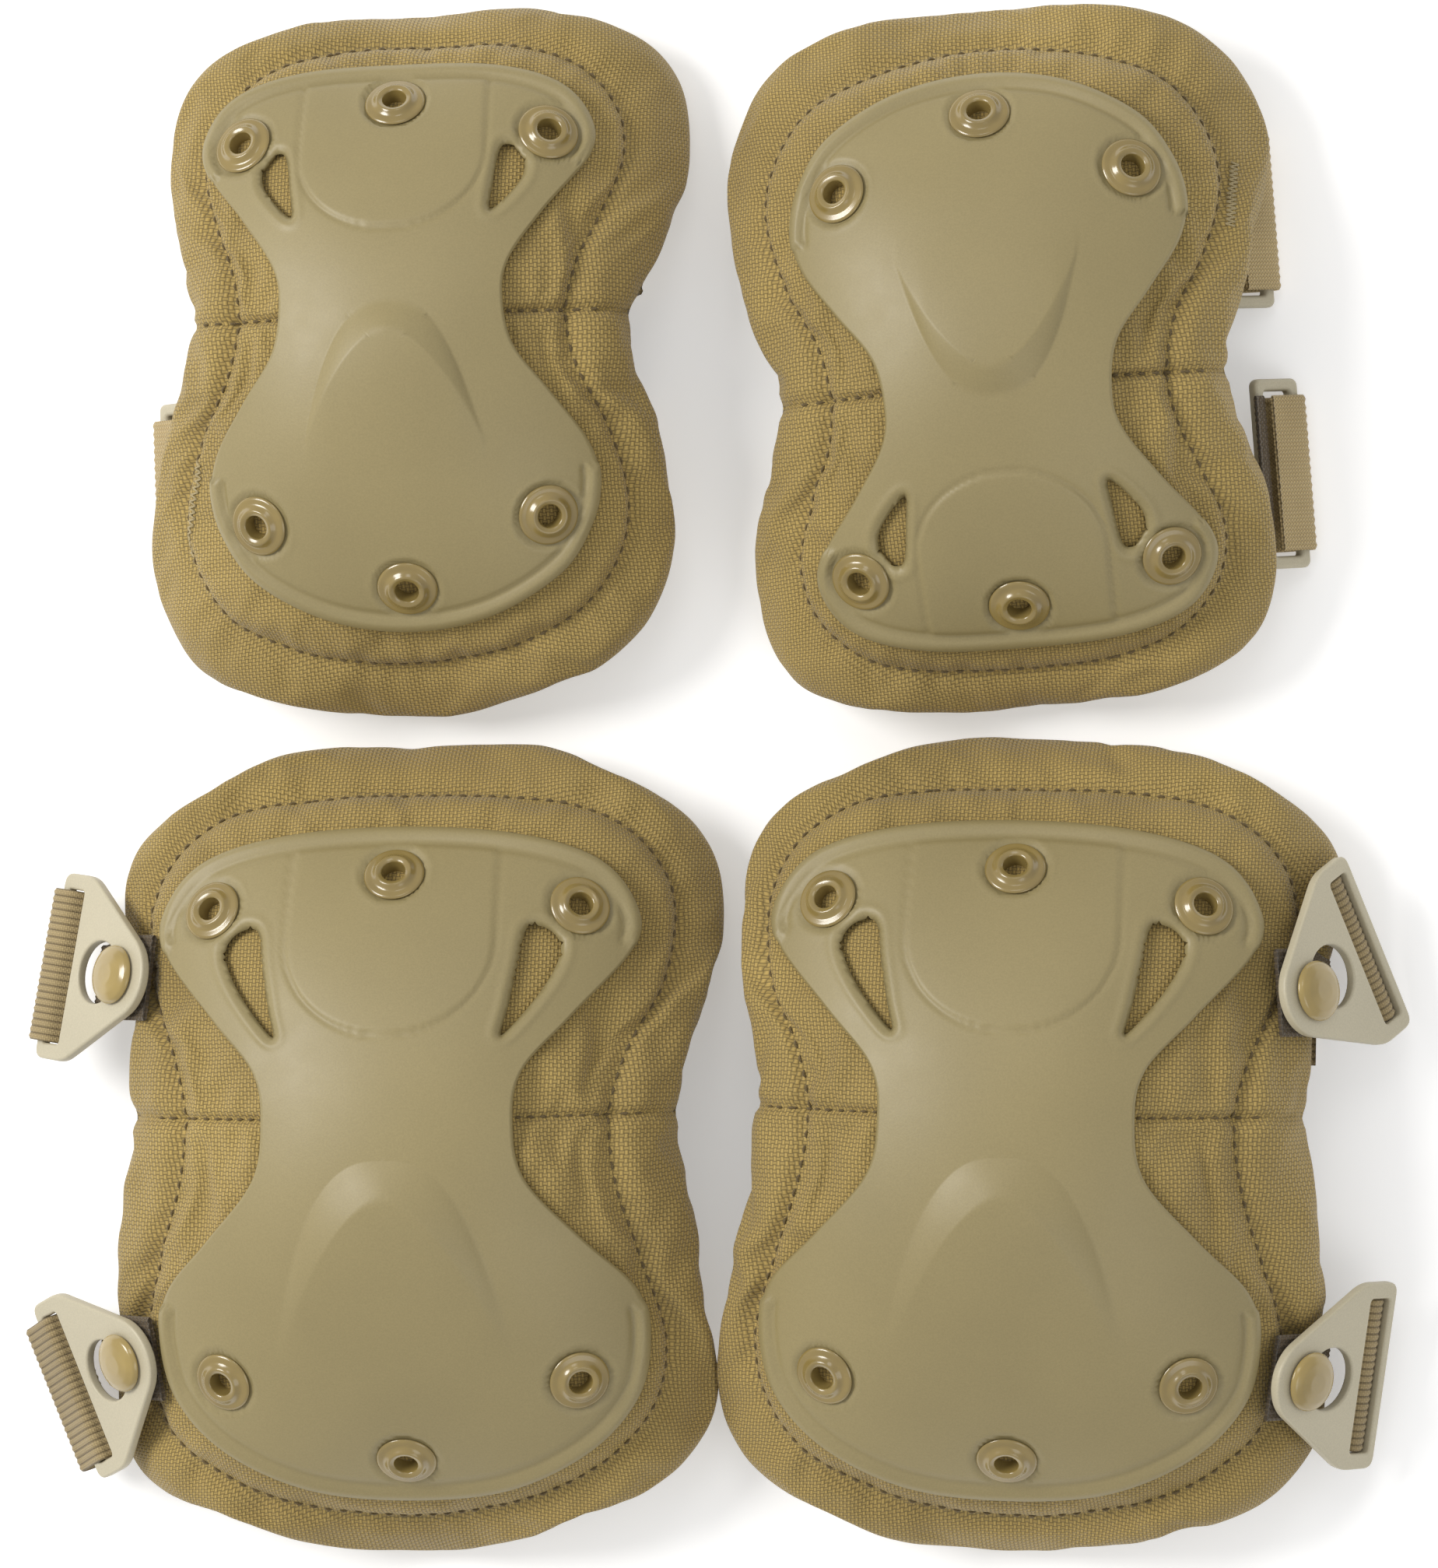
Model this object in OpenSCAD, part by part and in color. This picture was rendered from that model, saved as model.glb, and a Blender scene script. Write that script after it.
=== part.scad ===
// A four-piece protector set: two knee guards and two elbow guards, lying caps up on a flat surface.
// Each guard is a hard cap riveted to a domed pad, with two elastic straps.
// Each guard is drawn in its own frame, with the crown of its dome over the origin, and then placed.

/* [Knee guard] */
// Radius of the knee dome across the leg
knee_rx = 106; // [100:1:116]
// Radius of the knee dome along the leg
knee_ry = 132; // [128:1:150]
// Height of the knee pad's crown above the floor
knee_apex = 79.4; // [78:0.1:90]

/* [Elbow guard] */
// Radius of the elbow dome across the arm
elbow_rx = 91; // [86:1:100]
// Radius of the elbow dome along the arm
elbow_ry = 114; // [111:1:130]
// Height of the elbow pad's crown above the floor
elbow_apex = 71.6; // [70:0.1:80]

/* [Pad and cap] */
// Thickness of the hard cap
cap_t = 2.8; // [2:0.1:3.5]
// Thickness of the woven front cover
cover_t = 1.6; // [1:0.1:2]
// Thickness of the foam
foam_t = 10; // [6:0.5:10]
// Thickness of the back lining
lining_t = 1.6; // [1:0.1:2]

/* [Eyelets] */
// Radius of the eyelet flange
flange_r = 8.9; // [8:0.1:9.5]
// Radius of the hole through an eyelet
eyelet_bore_r = 3.4; // [3:0.1:3.6]

/* [Straps, clips and rings] */
// Width of the elastic webbing
strap_w = 45; // [40:1:45]
// Thickness of the webbing
strap_t = 1.6; // [1.2:0.1:1.8]
// Thickness of a clip plate
clip_t = 3; // [2.5:0.1:3.2]
// Radius of a stud head
stud_head_r = 8.7; // [8:0.1:8.8]
// Distance a clip slides along its keyhole to come off its stud
keyhole_travel = 9; // [8.8:0.1:9.4]

/* [Hidden] */
$fn = 48;

// Colours
tan_plastic = [0.67, 0.60, 0.45];
tan_fabric = [0.59, 0.49, 0.28];
tan_lining = [0.50, 0.42, 0.26];
foam_grey = [0.35, 0.34, 0.32];
ochre_metal = [0.62, 0.52, 0.29];
clip_plastic = [0.72, 0.66, 0.53];
webbing_brown = [0.52, 0.45, 0.31];

// Clearances between layers and pieces of one guard
layer_gap = 0.3;
cap_gap = 1.0;
// Depth of the washers and of the eyelets' barrels below the pad's face
washer_depth = 3.5;
washer_t = 1.1;
barrel_depth = 5;

// Half outlines, from the top centre down the right side to the bottom centre
knee_pad_side = [
    [30, 119], [52, 112], [70, 101], [81, 88], [84, 70], [81, 42], [78, 15],
    [82, -25], [87, -68], [80, -86], [66, -97], [46, -105], [24, -112]
];
knee_cap_side = [
    [33.5, 93], [56, 86.5], [66.5, 74.5], [67, 61.5], [51, 42.5], [38, 27.5], [35.5, 13],
    [38.5, -3], [53, -20], [66.5, -34.5], [69.5, -47.5], [66, -65.5], [52.5, -81], [29, -92]
];
elbow_pad_side = [
    [30, 98], [52, 93], [67, 83], [73, 66], [71, 35], [63.5, 8],
    [69, -18], [75, -50], [74, -68], [67, -82], [53, -94], [30, -102]
];
elbow_cap_side = [
    [27.5, 78.5], [46, 73], [54.5, 63], [54.5, 52], [42.5, 36], [33.5, 22.5], [31.5, 12],
    [34, -2], [43.5, -15.5], [52.5, -29], [55, -40], [52, -53], [43, -66], [23.5, -76.5]
];

// Vents: rounded curved triangles on the right of the cap
knee_vent = [[38.5, 67], [44, 67], [47.8, 62.5], [46.5, 56], [41, 47], [32.5, 37.5], [34, 45], [36.5, 57]];
elbow_vent = [[31.5, 55], [35, 54.5], [37.5, 50], [36, 44], [28.5, 36.4], [29, 44], [30, 51]];

// Eyelet centres on the cap
knee_eyelets = [[0, 82], [52.5, 73], [-52.5, 73], [50.7, -60.5], [-50.7, -60.5], [0, -83]];
elbow_eyelets = [[0, 68.2], [43.6, 58.4], [-43.6, 58.4], [41, -49.8], [-41, -49.8], [0, -68.4]];

// A guard's shape: radii across and along, how fast the long curve fades sideways, the middle of
// the long curve, the crown's height, the ends of the pad and of the cap, and the lists above
knee = [knee_rx, knee_ry, 80, 3, knee_apex, [121, -115], [95, -95],
        knee_pad_side, knee_cap_side, knee_vent, knee_eyelets];
elbow = [elbow_rx, elbow_ry, 69, -4, elbow_apex, [99, -106], [79.5, -80],
         elbow_pad_side, elbow_cap_side, elbow_vent, elbow_eyelets];

// Where each guard lies: centre and turn
knee_left_at = [-92, -108, 0.9];
knee_right_at = [84, -106, -1];
elbow_left_at = [-92, 128, 1.9];
elbow_right_at = [80.5, 122.5, 184.5];
// Moves the whole set so that its middle is over the origin
set_shift = [5.6, -2.6];

// Clip places on a knee guard: side, height on the pad, turn of the clip about its stud
left_upper_clip_at = [-1, 55, -5];
left_lower_clip_at = [-1, -56, 20];
right_upper_clip_at = [1, 50, 27];
right_lower_clip_at = [1, -60, 0];
stud_x = 82;
// Where on the dome the clips of each side take their lean from
left_lean_x = 74;
right_lean_x = 84;
tab_t = 2;
tab_lift = 3.4;
tab_w = 34;
tab_in = 10;
tab_out = 10.5;

// Stud and clip sizes, in the clip's own frame: x runs outward from the stud, z stands off the pad
stud_neck_r = 4.4;
stud_base_r = 7;
stud_base_t = 0.6;
clip_lift = 1;
stud_head_z = clip_lift + clip_t + 0.5;
stud_dome_t = 3.2;
seat_r = 5;
release_r = 9.2;
nose_r = 13;
clip_half_w = 27.5;
clip_shoulder_x = 19;
clip_end_x = 33;
slot_x = 22.3;
slot_len = 8;
slot_half_w = 22.8;

// Ring places on an elbow guard: distance out, height on the pad, height above the floor
left_upper_ring_at = [52, 37, 16];
left_lower_ring_at = [69, -39, 15];
right_upper_ring_at = [70.5, 37, 15];
right_lower_ring_at = [66, -39, 14.2];
ring_lean = 45;
ring_tab_len = 3.2;
ring_half_w = 27.5;
ring_len = 15.2;
ring_t = 3.4;
ring_bar = 3.6;

// The path of a knee strap below the pad, as x and z, from its sewn end to the clip's side
knee_strap_path = [[-75.5, 13], [-72.5, 6.5], [-65, 2.2], [-57, 0.8], [60, 0.8], [84, 0.8]];
elbow_strap_path = [[65, 14], [62, 7], [55, 2.2], [47, 0.8], [-48, 0.8], [-62, 0.8]];

// The folded end of a knee strap round the clip's bar, in the clip's frame
knee_end_path = [
    [24.9, -0.4], [26.2, 0.8], [27.6, 4.2], [29.6, 5.9], [33, 5.7],
    [35.4, 3.8], [35.8, 0.8], [34.3, -1.6], [31, -2.8], [25.6, -2.9]
];
// The folded end of an elbow strap round the ring's lower bar, in the ring's frame
elbow_end_path = [
    [6, -4], [8.6, -2.6], [10.1, -0.8], [10.2, 1.6], [11.4, 3.1], [15.2, 3.1], [16.5, 1.6],
    [16.5, -1.4], [15, -3.4], [12, -5], [8, -6.4]
];

// Dome shape
function long_drop(s, y) = s[1] - sqrt(s[1] * s[1] - (y - s[3]) * (y - s[3]));
function drop(s, x, y) = s[0] - sqrt(s[0] * s[0] - x * x) + long_drop(s, y) / (1 + x * x / (s[2] * s[2]));
function slope_x(s, x, y) = (drop(s, x + 0.05, y) - drop(s, x - 0.05, y)) / 0.1;
function slope_y(s, x, y) = (drop(s, x, y + 0.05) - drop(s, x, y - 0.05)) / 0.1;
function unit(v) = v / norm(v);
function dome_normal(s, x, y) = unit([slope_x(s, x, y), slope_y(s, x, y), 1]);
function on_dome(s, x, y, h) = [x, y, s[4] - drop(s, x, y)] + h * dome_normal(s, x, y);

// A closed outline: the half outline and its mirror image, with a smooth curve through the points
function closed_outline(top_y, bottom_y, side) = concat(
    [[0, top_y]], side, [[0, bottom_y]],
    [for (i = [len(side) - 1 : -1 : 0]) [-side[i][0], side[i][1]]]
);
function curve_point(a, b, c, d, t) = 0.5 * (
    2 * b + (c - a) * t + (2 * a - 5 * b + 4 * c - d) * t * t + (3 * b - a - 3 * c + d) * t * t * t
);
function smooth(points, steps) = [
    for (i = [0 : len(points) - 1], k = [0 : steps - 1])
        let (n = len(points))
        curve_point(points[(i + n - 1) % n], points[i], points[(i + 1) % n], points[(i + 2) % n], k / steps)
];
function pad_outline(s) = closed_outline(s[5][0], s[5][1], s[7]);
function cap_outline(s) = smooth(closed_outline(s[6][0], s[6][1], s[8]), 2);

// A sheet that follows the dome between two heights above the pad's face
module domed_sheet(s, outline, low, high, rings) {
    n = len(outline);
    middle = [0, s[3]];
    flat = concat([middle], [for (r = [1 : rings], p = outline) middle + (p - middle) * r / rings]);
    count = len(flat);
    top = [for (p = flat) on_dome(s, p[0], p[1], high)];
    bottom = [for (p = flat) on_dome(s, p[0], p[1], low)];
    top_faces = concat(
        [for (j = [0 : n - 1]) [0, 1 + j, 1 + (j + 1) % n]],
        [for (r = [0 : rings - 2], j = [0 : n - 1]) each
            let (a = 1 + r * n + j, b = 1 + r * n + (j + 1) % n)
            [[a, a + n, b + n], [a, b + n, b]]]
    );
    bottom_faces = [for (f = top_faces) [f[2] + count, f[1] + count, f[0] + count]];
    last = 1 + (rings - 1) * n;
    edge_faces = [for (j = [0 : n - 1]) each
        let (a = last + j, b = last + (j + 1) % n)
        [[a, a + count, b + count], [a, b + count, b]]];
    polyhedron(points = concat(top, bottom), faces = concat(top_faces, bottom_faces, edge_faces));
}

// Children stand on the pad's face at x, y, with their z axis along the dome's normal
module on_pad(s, x, y) {
    n = dome_normal(s, x, y);
    translate(on_dome(s, x, y, 0))
        rotate([0, atan2(n[0], n[2]), 0])
            rotate([-asin(n[1]), 0, 0])
                children();
}

module eyelet_cutters(s, r, low, high) {
    for (p = s[10])
        on_pad(s, p[0], p[1])
            translate([0, 0, low])
                cylinder(r = r, h = high - low);
}

// A tube with a square section, standing on z = low
module washer(inner_r, outer_r, low, high) {
    rotate_extrude()
        translate([inner_r, low])
            square([outer_r - inner_r, high - low]);
}

// Flat webbing that follows a path in x and z, centred on y = 0
function path_side(path, i, shift) =
    let (a = path[max(i - 1, 0)], b = path[min(i + 1, len(path) - 1)], d = unit(b - a))
    path[i] + shift * [-d[1], d[0]];
module ribbon(path, width) {
    left = [for (i = [0 : len(path) - 1]) path_side(path, i, strap_t / 2)];
    right = [for (i = [len(path) - 1 : -1 : 0]) path_side(path, i, -strap_t / 2)];
    translate([0, width / 2, 0])
        rotate([90, 0, 0])
            linear_extrude(width)
                polygon(concat(left, right));
}

module place(at) {
    translate([at[0] + set_shift[0], at[1] + set_shift[1], 0])
        rotate([0, 0, at[2]])
            children();
}

// Hard cap with its eyelet holes and two vents
module cap(s) {
    color(tan_plastic)
        difference() {
            domed_sheet(s, cap_outline(s), cap_gap, cap_gap + cap_t, 5);
            eyelet_cutters(s, eyelet_bore_r + 1.2, -1, cap_gap + cap_t + 4);
            for (side = [0, 1])
                mirror([side, 0, 0])
                    linear_extrude(s[4] + 10)
                        polygon(smooth(s[9], 3));
        }
}

// Six flanged eyelets through the cap and the front cover
module eyelets(s) {
    flange_z = cap_gap + cap_t + 0.15;
    color(ochre_metal)
        for (p = s[10])
            on_pad(s, p[0], p[1])
                rotate_extrude()
                    polygon([
                        [eyelet_bore_r, -barrel_depth], [eyelet_bore_r + 0.9, -barrel_depth],
                        [eyelet_bore_r + 0.9, flange_z],
                        [flange_r, flange_z], [flange_r, flange_z + 0.7], [flange_r - 2.6, flange_z + 0.9],
                        [flange_r - 3.4, flange_z + 1.7], [eyelet_bore_r + 0.6, flange_z + 1.7],
                        [eyelet_bore_r, flange_z + 1.1]
                    ]);
}

// Flat washers that the eyelets are set against, behind the front cover
module eyelet_washers(s) {
    color(ochre_metal)
        for (p = s[10])
            on_pad(s, p[0], p[1])
                washer(eyelet_bore_r + 1.1, flange_r, -washer_depth - washer_t, -washer_depth);
}

module front_cover(s) {
    color(tan_fabric)
        difference() {
            domed_sheet(s, pad_outline(s), -cover_t, 0, 4);
            eyelet_cutters(s, eyelet_bore_r + 1.2, -4, 4);
        }
}

module foam_core(s) {
    top = -cover_t - layer_gap;
    color(foam_grey)
        difference() {
            domed_sheet(s, pad_outline(s), top - foam_t, top, 4);
            eyelet_cutters(s, flange_r + 0.6, -barrel_depth - 0.5, 4);
        }
}

module back_lining(s) {
    top = -cover_t - foam_t - 2 * layer_gap;
    color(tan_lining)
        domed_sheet(s, pad_outline(s), top - lining_t, top, 4);
}

// Children are drawn in the frame of a stud: x runs outward and down, z stands off the pad
module at_stud(s, side, y) {
    n = dome_normal(s, side < 0 ? -left_lean_x : right_lean_x, y);
    rotate([0, 0, side < 0 ? 180 : 0])
        translate([stud_x, side * y, s[4] - drop(s, stud_x, y) + tab_lift + tab_t])
            rotate([0, atan2(side * n[0], n[2]), 0])
                rotate([-asin(side * n[1]), 0, 0])
                    children();
}

// Two short tabs of folded webbing, one for each stud
module stud_tabs(s, first, second) {
    color(webbing_brown)
        for (at = [first, second])
            at_stud(s, at[0], at[1])
                difference() {
                    union() {
                        translate([-tab_in, -tab_w / 2, -tab_t])
                            cube([tab_in, tab_w, tab_t]);
                        translate([0, 0, -tab_t])
                            cylinder(r = tab_out, h = tab_t);
                    }
                    translate([0, 0, -tab_t - 1])
                        cylinder(r = 2.3, h = tab_t + 2);
                }
}

// Mushroom-headed stud riveted through its tab
module stud(s, at) {
    color(ochre_metal)
        at_stud(s, at[0], at[1])
            rotate_extrude()
                polygon([
                    [0, -tab_t - 0.9], [4.2, -tab_t - 0.9], [4.2, -tab_t - 0.2], [2, -tab_t - 0.2],
                    [2, 0.3], [stud_base_r, 0.3], [stud_base_r, 0.3 + stud_base_t],
                    [stud_neck_r, 0.3 + stud_base_t], [stud_neck_r, stud_head_z], [stud_head_r, stud_head_z],
                    [stud_head_r, stud_head_z + 0.8], [stud_head_r * 0.8, stud_head_z + 2],
                    [stud_head_r * 0.45, stud_head_z + 2.9], [0, stud_head_z + stud_dome_t]
                ]);
}

// Clip plate: rounded nose, keyhole, and a slot with a thin bar
module clip_outline() {
    corner = [clip_shoulder_x, clip_half_w];
    away = norm(corner);
    tangent = atan2(corner[1], corner[0]) + acos(nose_r / away);
    touch = nose_r * [cos(tangent), sin(tangent)];
    circle(r = nose_r);
    polygon([
        touch, [clip_shoulder_x, clip_half_w], [clip_end_x, clip_half_w],
        [clip_end_x, -clip_half_w], [clip_shoulder_x, -clip_half_w], [touch[0], -touch[1]]
    ]);
}

module clip(s, at) {
    color(clip_plastic)
        at_stud(s, at[0], at[1])
            rotate([0, 0, at[2]])
                translate([0, 0, clip_lift + 0.1])
                    difference() {
                        linear_extrude(clip_t)
                            clip_outline();
                        translate([0, 0, -1])
                            cylinder(r = seat_r, h = clip_t + 2);
                        translate([keyhole_travel, 0, -1])
                            cylinder(r = release_r, h = clip_t + 2);
                        translate([slot_x, -slot_half_w, -1])
                            cube([slot_len, 2 * slot_half_w, clip_t + 2]);
                    }
}

// The end of a knee strap, folded round the clip's bar
module knee_strap_end(s, at) {
    color(webbing_brown)
        at_stud(s, at[0], at[1])
            rotate([0, 0, at[2]])
                ribbon(knee_end_path, strap_w);
}

// The run of a knee strap below the pad
module knee_strap(at) {
    color(webbing_brown)
        translate([0, at[1], 0])
            ribbon([for (p = knee_strap_path) [p[0] * at[0], p[1]]], strap_w);
}

// Children are drawn in the frame of an elbow ring: x runs outward and down, z stands off the pad
module at_ring(at) {
    rotate([0, 0, 180])
        translate([at[0], -at[1], at[2]])
            rotate([0, ring_lean, 0])
                children();
}

// Short tabs of webbing that hold the rings
module ring_tabs(first, second) {
    color(webbing_brown)
        for (at = [first, second])
            at_ring(at)
                translate([-ring_tab_len, -strap_w / 2, ring_t / 2 + 0.4])
                    cube([ring_tab_len, strap_w, strap_t]);
}

// Rectangular plastic ring whose inner bar is a round rod that it hinges on
module ring(at) {
    color(clip_plastic)
        at_ring(at) {
            rotate([90, 0, 0])
                cylinder(r = ring_t / 2, h = 2 * ring_half_w, center = true);
            translate([0, -ring_half_w, -ring_t / 2])
                difference() {
                    cube([ring_len, 2 * ring_half_w, ring_t]);
                    translate([-1, ring_bar, -1])
                        cube([ring_len - ring_bar + 1, 2 * (ring_half_w - ring_bar), ring_t + 2]);
                }
        }
}

// The end of an elbow strap, folded round the ring's outer bar
module elbow_strap_end(at) {
    color(webbing_brown)
        at_ring(at)
            ribbon(elbow_end_path, strap_w);
}

// The run of an elbow strap below the pad
module elbow_strap(at) {
    color(webbing_brown)
        translate([0, at[1], 0])
            ribbon(elbow_strap_path, strap_w);
}

place(knee_left_at) cap(knee);  // knee_left_cap
place(knee_left_at) eyelets(knee);  // knee_left_eyelets
place(knee_left_at) eyelet_washers(knee);  // knee_left_eyelet_washers
place(knee_left_at) front_cover(knee);  // knee_left_front_cover
place(knee_left_at) foam_core(knee);  // knee_left_foam_core
place(knee_left_at) back_lining(knee);  // knee_left_back_lining
place(knee_left_at) stud_tabs(knee, left_upper_clip_at, left_lower_clip_at);  // knee_left_stud_tabs
place(knee_left_at) stud(knee, left_upper_clip_at);  // knee_left_upper_stud
place(knee_left_at) stud(knee, left_lower_clip_at);  // knee_left_lower_stud
place(knee_left_at) clip(knee, left_upper_clip_at);  // knee_left_upper_clip
place(knee_left_at) clip(knee, left_lower_clip_at);  // knee_left_lower_clip
place(knee_left_at) knee_strap(left_upper_clip_at);  // knee_left_upper_strap
place(knee_left_at) knee_strap(left_lower_clip_at);  // knee_left_lower_strap
place(knee_left_at) knee_strap_end(knee, left_upper_clip_at);  // knee_left_upper_strap_end
place(knee_left_at) knee_strap_end(knee, left_lower_clip_at);  // knee_left_lower_strap_end
place(knee_right_at) cap(knee);  // knee_right_cap
place(knee_right_at) eyelets(knee);  // knee_right_eyelets
place(knee_right_at) eyelet_washers(knee);  // knee_right_eyelet_washers
place(knee_right_at) front_cover(knee);  // knee_right_front_cover
place(knee_right_at) foam_core(knee);  // knee_right_foam_core
place(knee_right_at) back_lining(knee);  // knee_right_back_lining
place(knee_right_at) stud_tabs(knee, right_upper_clip_at, right_lower_clip_at);  // knee_right_stud_tabs
place(knee_right_at) stud(knee, right_upper_clip_at);  // knee_right_upper_stud
place(knee_right_at) stud(knee, right_lower_clip_at);  // knee_right_lower_stud
place(knee_right_at) clip(knee, right_upper_clip_at);  // knee_right_upper_clip
place(knee_right_at) clip(knee, right_lower_clip_at);  // knee_right_lower_clip
place(knee_right_at) knee_strap(right_upper_clip_at);  // knee_right_upper_strap
place(knee_right_at) knee_strap(right_lower_clip_at);  // knee_right_lower_strap
place(knee_right_at) knee_strap_end(knee, right_upper_clip_at);  // knee_right_upper_strap_end
place(knee_right_at) knee_strap_end(knee, right_lower_clip_at);  // knee_right_lower_strap_end
place(elbow_left_at) cap(elbow);  // elbow_left_cap
place(elbow_left_at) eyelets(elbow);  // elbow_left_eyelets
place(elbow_left_at) eyelet_washers(elbow);  // elbow_left_eyelet_washers
place(elbow_left_at) front_cover(elbow);  // elbow_left_front_cover
place(elbow_left_at) foam_core(elbow);  // elbow_left_foam_core
place(elbow_left_at) back_lining(elbow);  // elbow_left_back_lining
place(elbow_left_at) ring_tabs(left_upper_ring_at, left_lower_ring_at);  // elbow_left_ring_tabs
place(elbow_left_at) ring(left_upper_ring_at);  // elbow_left_upper_ring
place(elbow_left_at) ring(left_lower_ring_at);  // elbow_left_lower_ring
place(elbow_left_at) elbow_strap(left_upper_ring_at);  // elbow_left_upper_strap
place(elbow_left_at) elbow_strap(left_lower_ring_at);  // elbow_left_lower_strap
place(elbow_left_at) elbow_strap_end(left_upper_ring_at);  // elbow_left_upper_strap_end
place(elbow_left_at) elbow_strap_end(left_lower_ring_at);  // elbow_left_lower_strap_end
place(elbow_right_at) cap(elbow);  // elbow_right_cap
place(elbow_right_at) eyelets(elbow);  // elbow_right_eyelets
place(elbow_right_at) eyelet_washers(elbow);  // elbow_right_eyelet_washers
place(elbow_right_at) front_cover(elbow);  // elbow_right_front_cover
place(elbow_right_at) foam_core(elbow);  // elbow_right_foam_core
place(elbow_right_at) back_lining(elbow);  // elbow_right_back_lining
place(elbow_right_at) ring_tabs(right_upper_ring_at, right_lower_ring_at);  // elbow_right_ring_tabs
place(elbow_right_at) ring(right_upper_ring_at);  // elbow_right_upper_ring
place(elbow_right_at) ring(right_lower_ring_at);  // elbow_right_lower_ring
place(elbow_right_at) elbow_strap(right_upper_ring_at);  // elbow_right_upper_strap
place(elbow_right_at) elbow_strap(right_lower_ring_at);  // elbow_right_lower_strap
place(elbow_right_at) elbow_strap_end(right_upper_ring_at);  // elbow_right_upper_strap_end
place(elbow_right_at) elbow_strap_end(right_lower_ring_at);  // elbow_right_lower_strap_end
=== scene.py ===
"""Looks for the knee and elbow guard set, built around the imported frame."""
import math

import bpy
import numpy as np
from mathutils import Matrix, Vector
from mathutils.bvhtree import BVHTree
from mathutils.kdtree import KDTree


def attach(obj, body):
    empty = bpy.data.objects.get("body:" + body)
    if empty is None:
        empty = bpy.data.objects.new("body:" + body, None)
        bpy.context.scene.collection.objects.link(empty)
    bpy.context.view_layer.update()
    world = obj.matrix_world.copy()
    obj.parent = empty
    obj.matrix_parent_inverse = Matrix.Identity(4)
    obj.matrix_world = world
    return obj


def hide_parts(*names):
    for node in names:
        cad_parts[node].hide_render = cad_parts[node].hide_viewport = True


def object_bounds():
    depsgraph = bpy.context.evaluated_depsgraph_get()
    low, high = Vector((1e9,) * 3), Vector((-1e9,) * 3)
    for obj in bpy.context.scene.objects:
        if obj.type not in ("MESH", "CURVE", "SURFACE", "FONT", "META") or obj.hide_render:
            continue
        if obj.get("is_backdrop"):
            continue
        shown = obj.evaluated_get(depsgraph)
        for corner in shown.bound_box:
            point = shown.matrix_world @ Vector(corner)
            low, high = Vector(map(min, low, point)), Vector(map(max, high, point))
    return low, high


MM = 0.001
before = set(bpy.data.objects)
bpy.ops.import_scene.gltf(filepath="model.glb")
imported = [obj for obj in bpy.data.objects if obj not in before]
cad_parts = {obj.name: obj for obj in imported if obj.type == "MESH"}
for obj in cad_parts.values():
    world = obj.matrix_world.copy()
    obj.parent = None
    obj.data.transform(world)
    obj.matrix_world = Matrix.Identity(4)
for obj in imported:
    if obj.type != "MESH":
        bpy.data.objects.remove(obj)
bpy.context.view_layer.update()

# ---------------- guard shapes, as in the CAD model (mm)


class Shape:
    """The dome, outlines and cap features of one size of guard."""

    def __init__(self, **values):
        self.__dict__.update(values)

    def drop(self, x, y):
        x = np.clip(x, -self.rx * 0.97, self.rx * 0.97)
        out = y - self.mid
        flare = np.clip((np.abs(out) - 0.78 * self.pad_reach) / (0.22 * self.pad_reach), 0, 1)
        out = out * (1 - 0.035 * flare * flare * (3 - 2 * flare))
        along = self.ry - np.sqrt(self.ry ** 2 - out ** 2)
        return self.rx - np.sqrt(self.rx ** 2 - x ** 2) + along / (1 + (x / self.fade) ** 2)

    def normal(self, x, y):
        e = 0.05
        gx = (self.drop(x + e, y) - self.drop(x - e, y)) / (2 * e)
        gy = (self.drop(x, y + e) - self.drop(x, y - e)) / (2 * e)
        n = np.stack([gx, gy, np.ones_like(gx)], -1)
        return n / np.linalg.norm(n, axis=-1, keepdims=True)

    def point(self, x, y, h=0.0):
        x = np.asarray(x, float)
        y = np.asarray(y, float)
        h = np.asarray(h, float) * np.ones_like(x)
        base = np.stack([x, y, self.apex - self.drop(x, y)], -1)
        return base + h[..., None] * self.normal(x, y)

    def flat(self, x, y):
        """Distances along the cloth from the crown, for the weave."""
        return np.stack([self.rx * np.arcsin(x / self.rx), self.ry * np.arcsin((y - self.mid) / self.ry)], -1)


KNEE = Shape(
    rx=106, ry=132, fade=80, mid=3, apex=79.4,
    pad=[(0, 121), (30, 119), (52, 112), (70, 101), (81, 88), (84, 70), (81, 42), (78, 15),
         (82, -25), (87, -68), (80, -86), (66, -97), (46, -105), (24, -112), (0, -115)],
    cap=[(0, 95), (33.5, 93), (56, 86.5), (66.5, 74.5), (67, 61.5), (51, 42.5), (38, 27.5), (35.5, 13),
         (38.5, -3), (53, -20), (66.5, -34.5), (69.5, -47.5), (66, -65.5), (52.5, -81), (29, -92), (0, -95)],
    stitch=[(0, 107), (30, 106), (52, 102), (68, 91), (76, 74), (74, 52), (65, 32), (61, 14.6),
            (63, -5), (70, -28), (76, -50), (73, -70), (61, -85), (42, -96), (20, -102), (0, -104)],
    vent=[(38.5, 67), (44, 67), (47.8, 62.5), (46.5, 56), (41, 47), (32.5, 37.5), (34, 45), (36.5, 57)],
    eyelets=[(0, 82), (52.5, 73), (-52.5, 73), (50.7, -60.5), (-50.7, -60.5), (0, -83)],
    rim_from=61.5, rim_to=-39.5, arch=(30, 63.5, 26),
    facet=(3, 0.0029, -7.5, 0.103, -60, 0), seam=14.6, half_facet=33, pad_reach=121)
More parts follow.
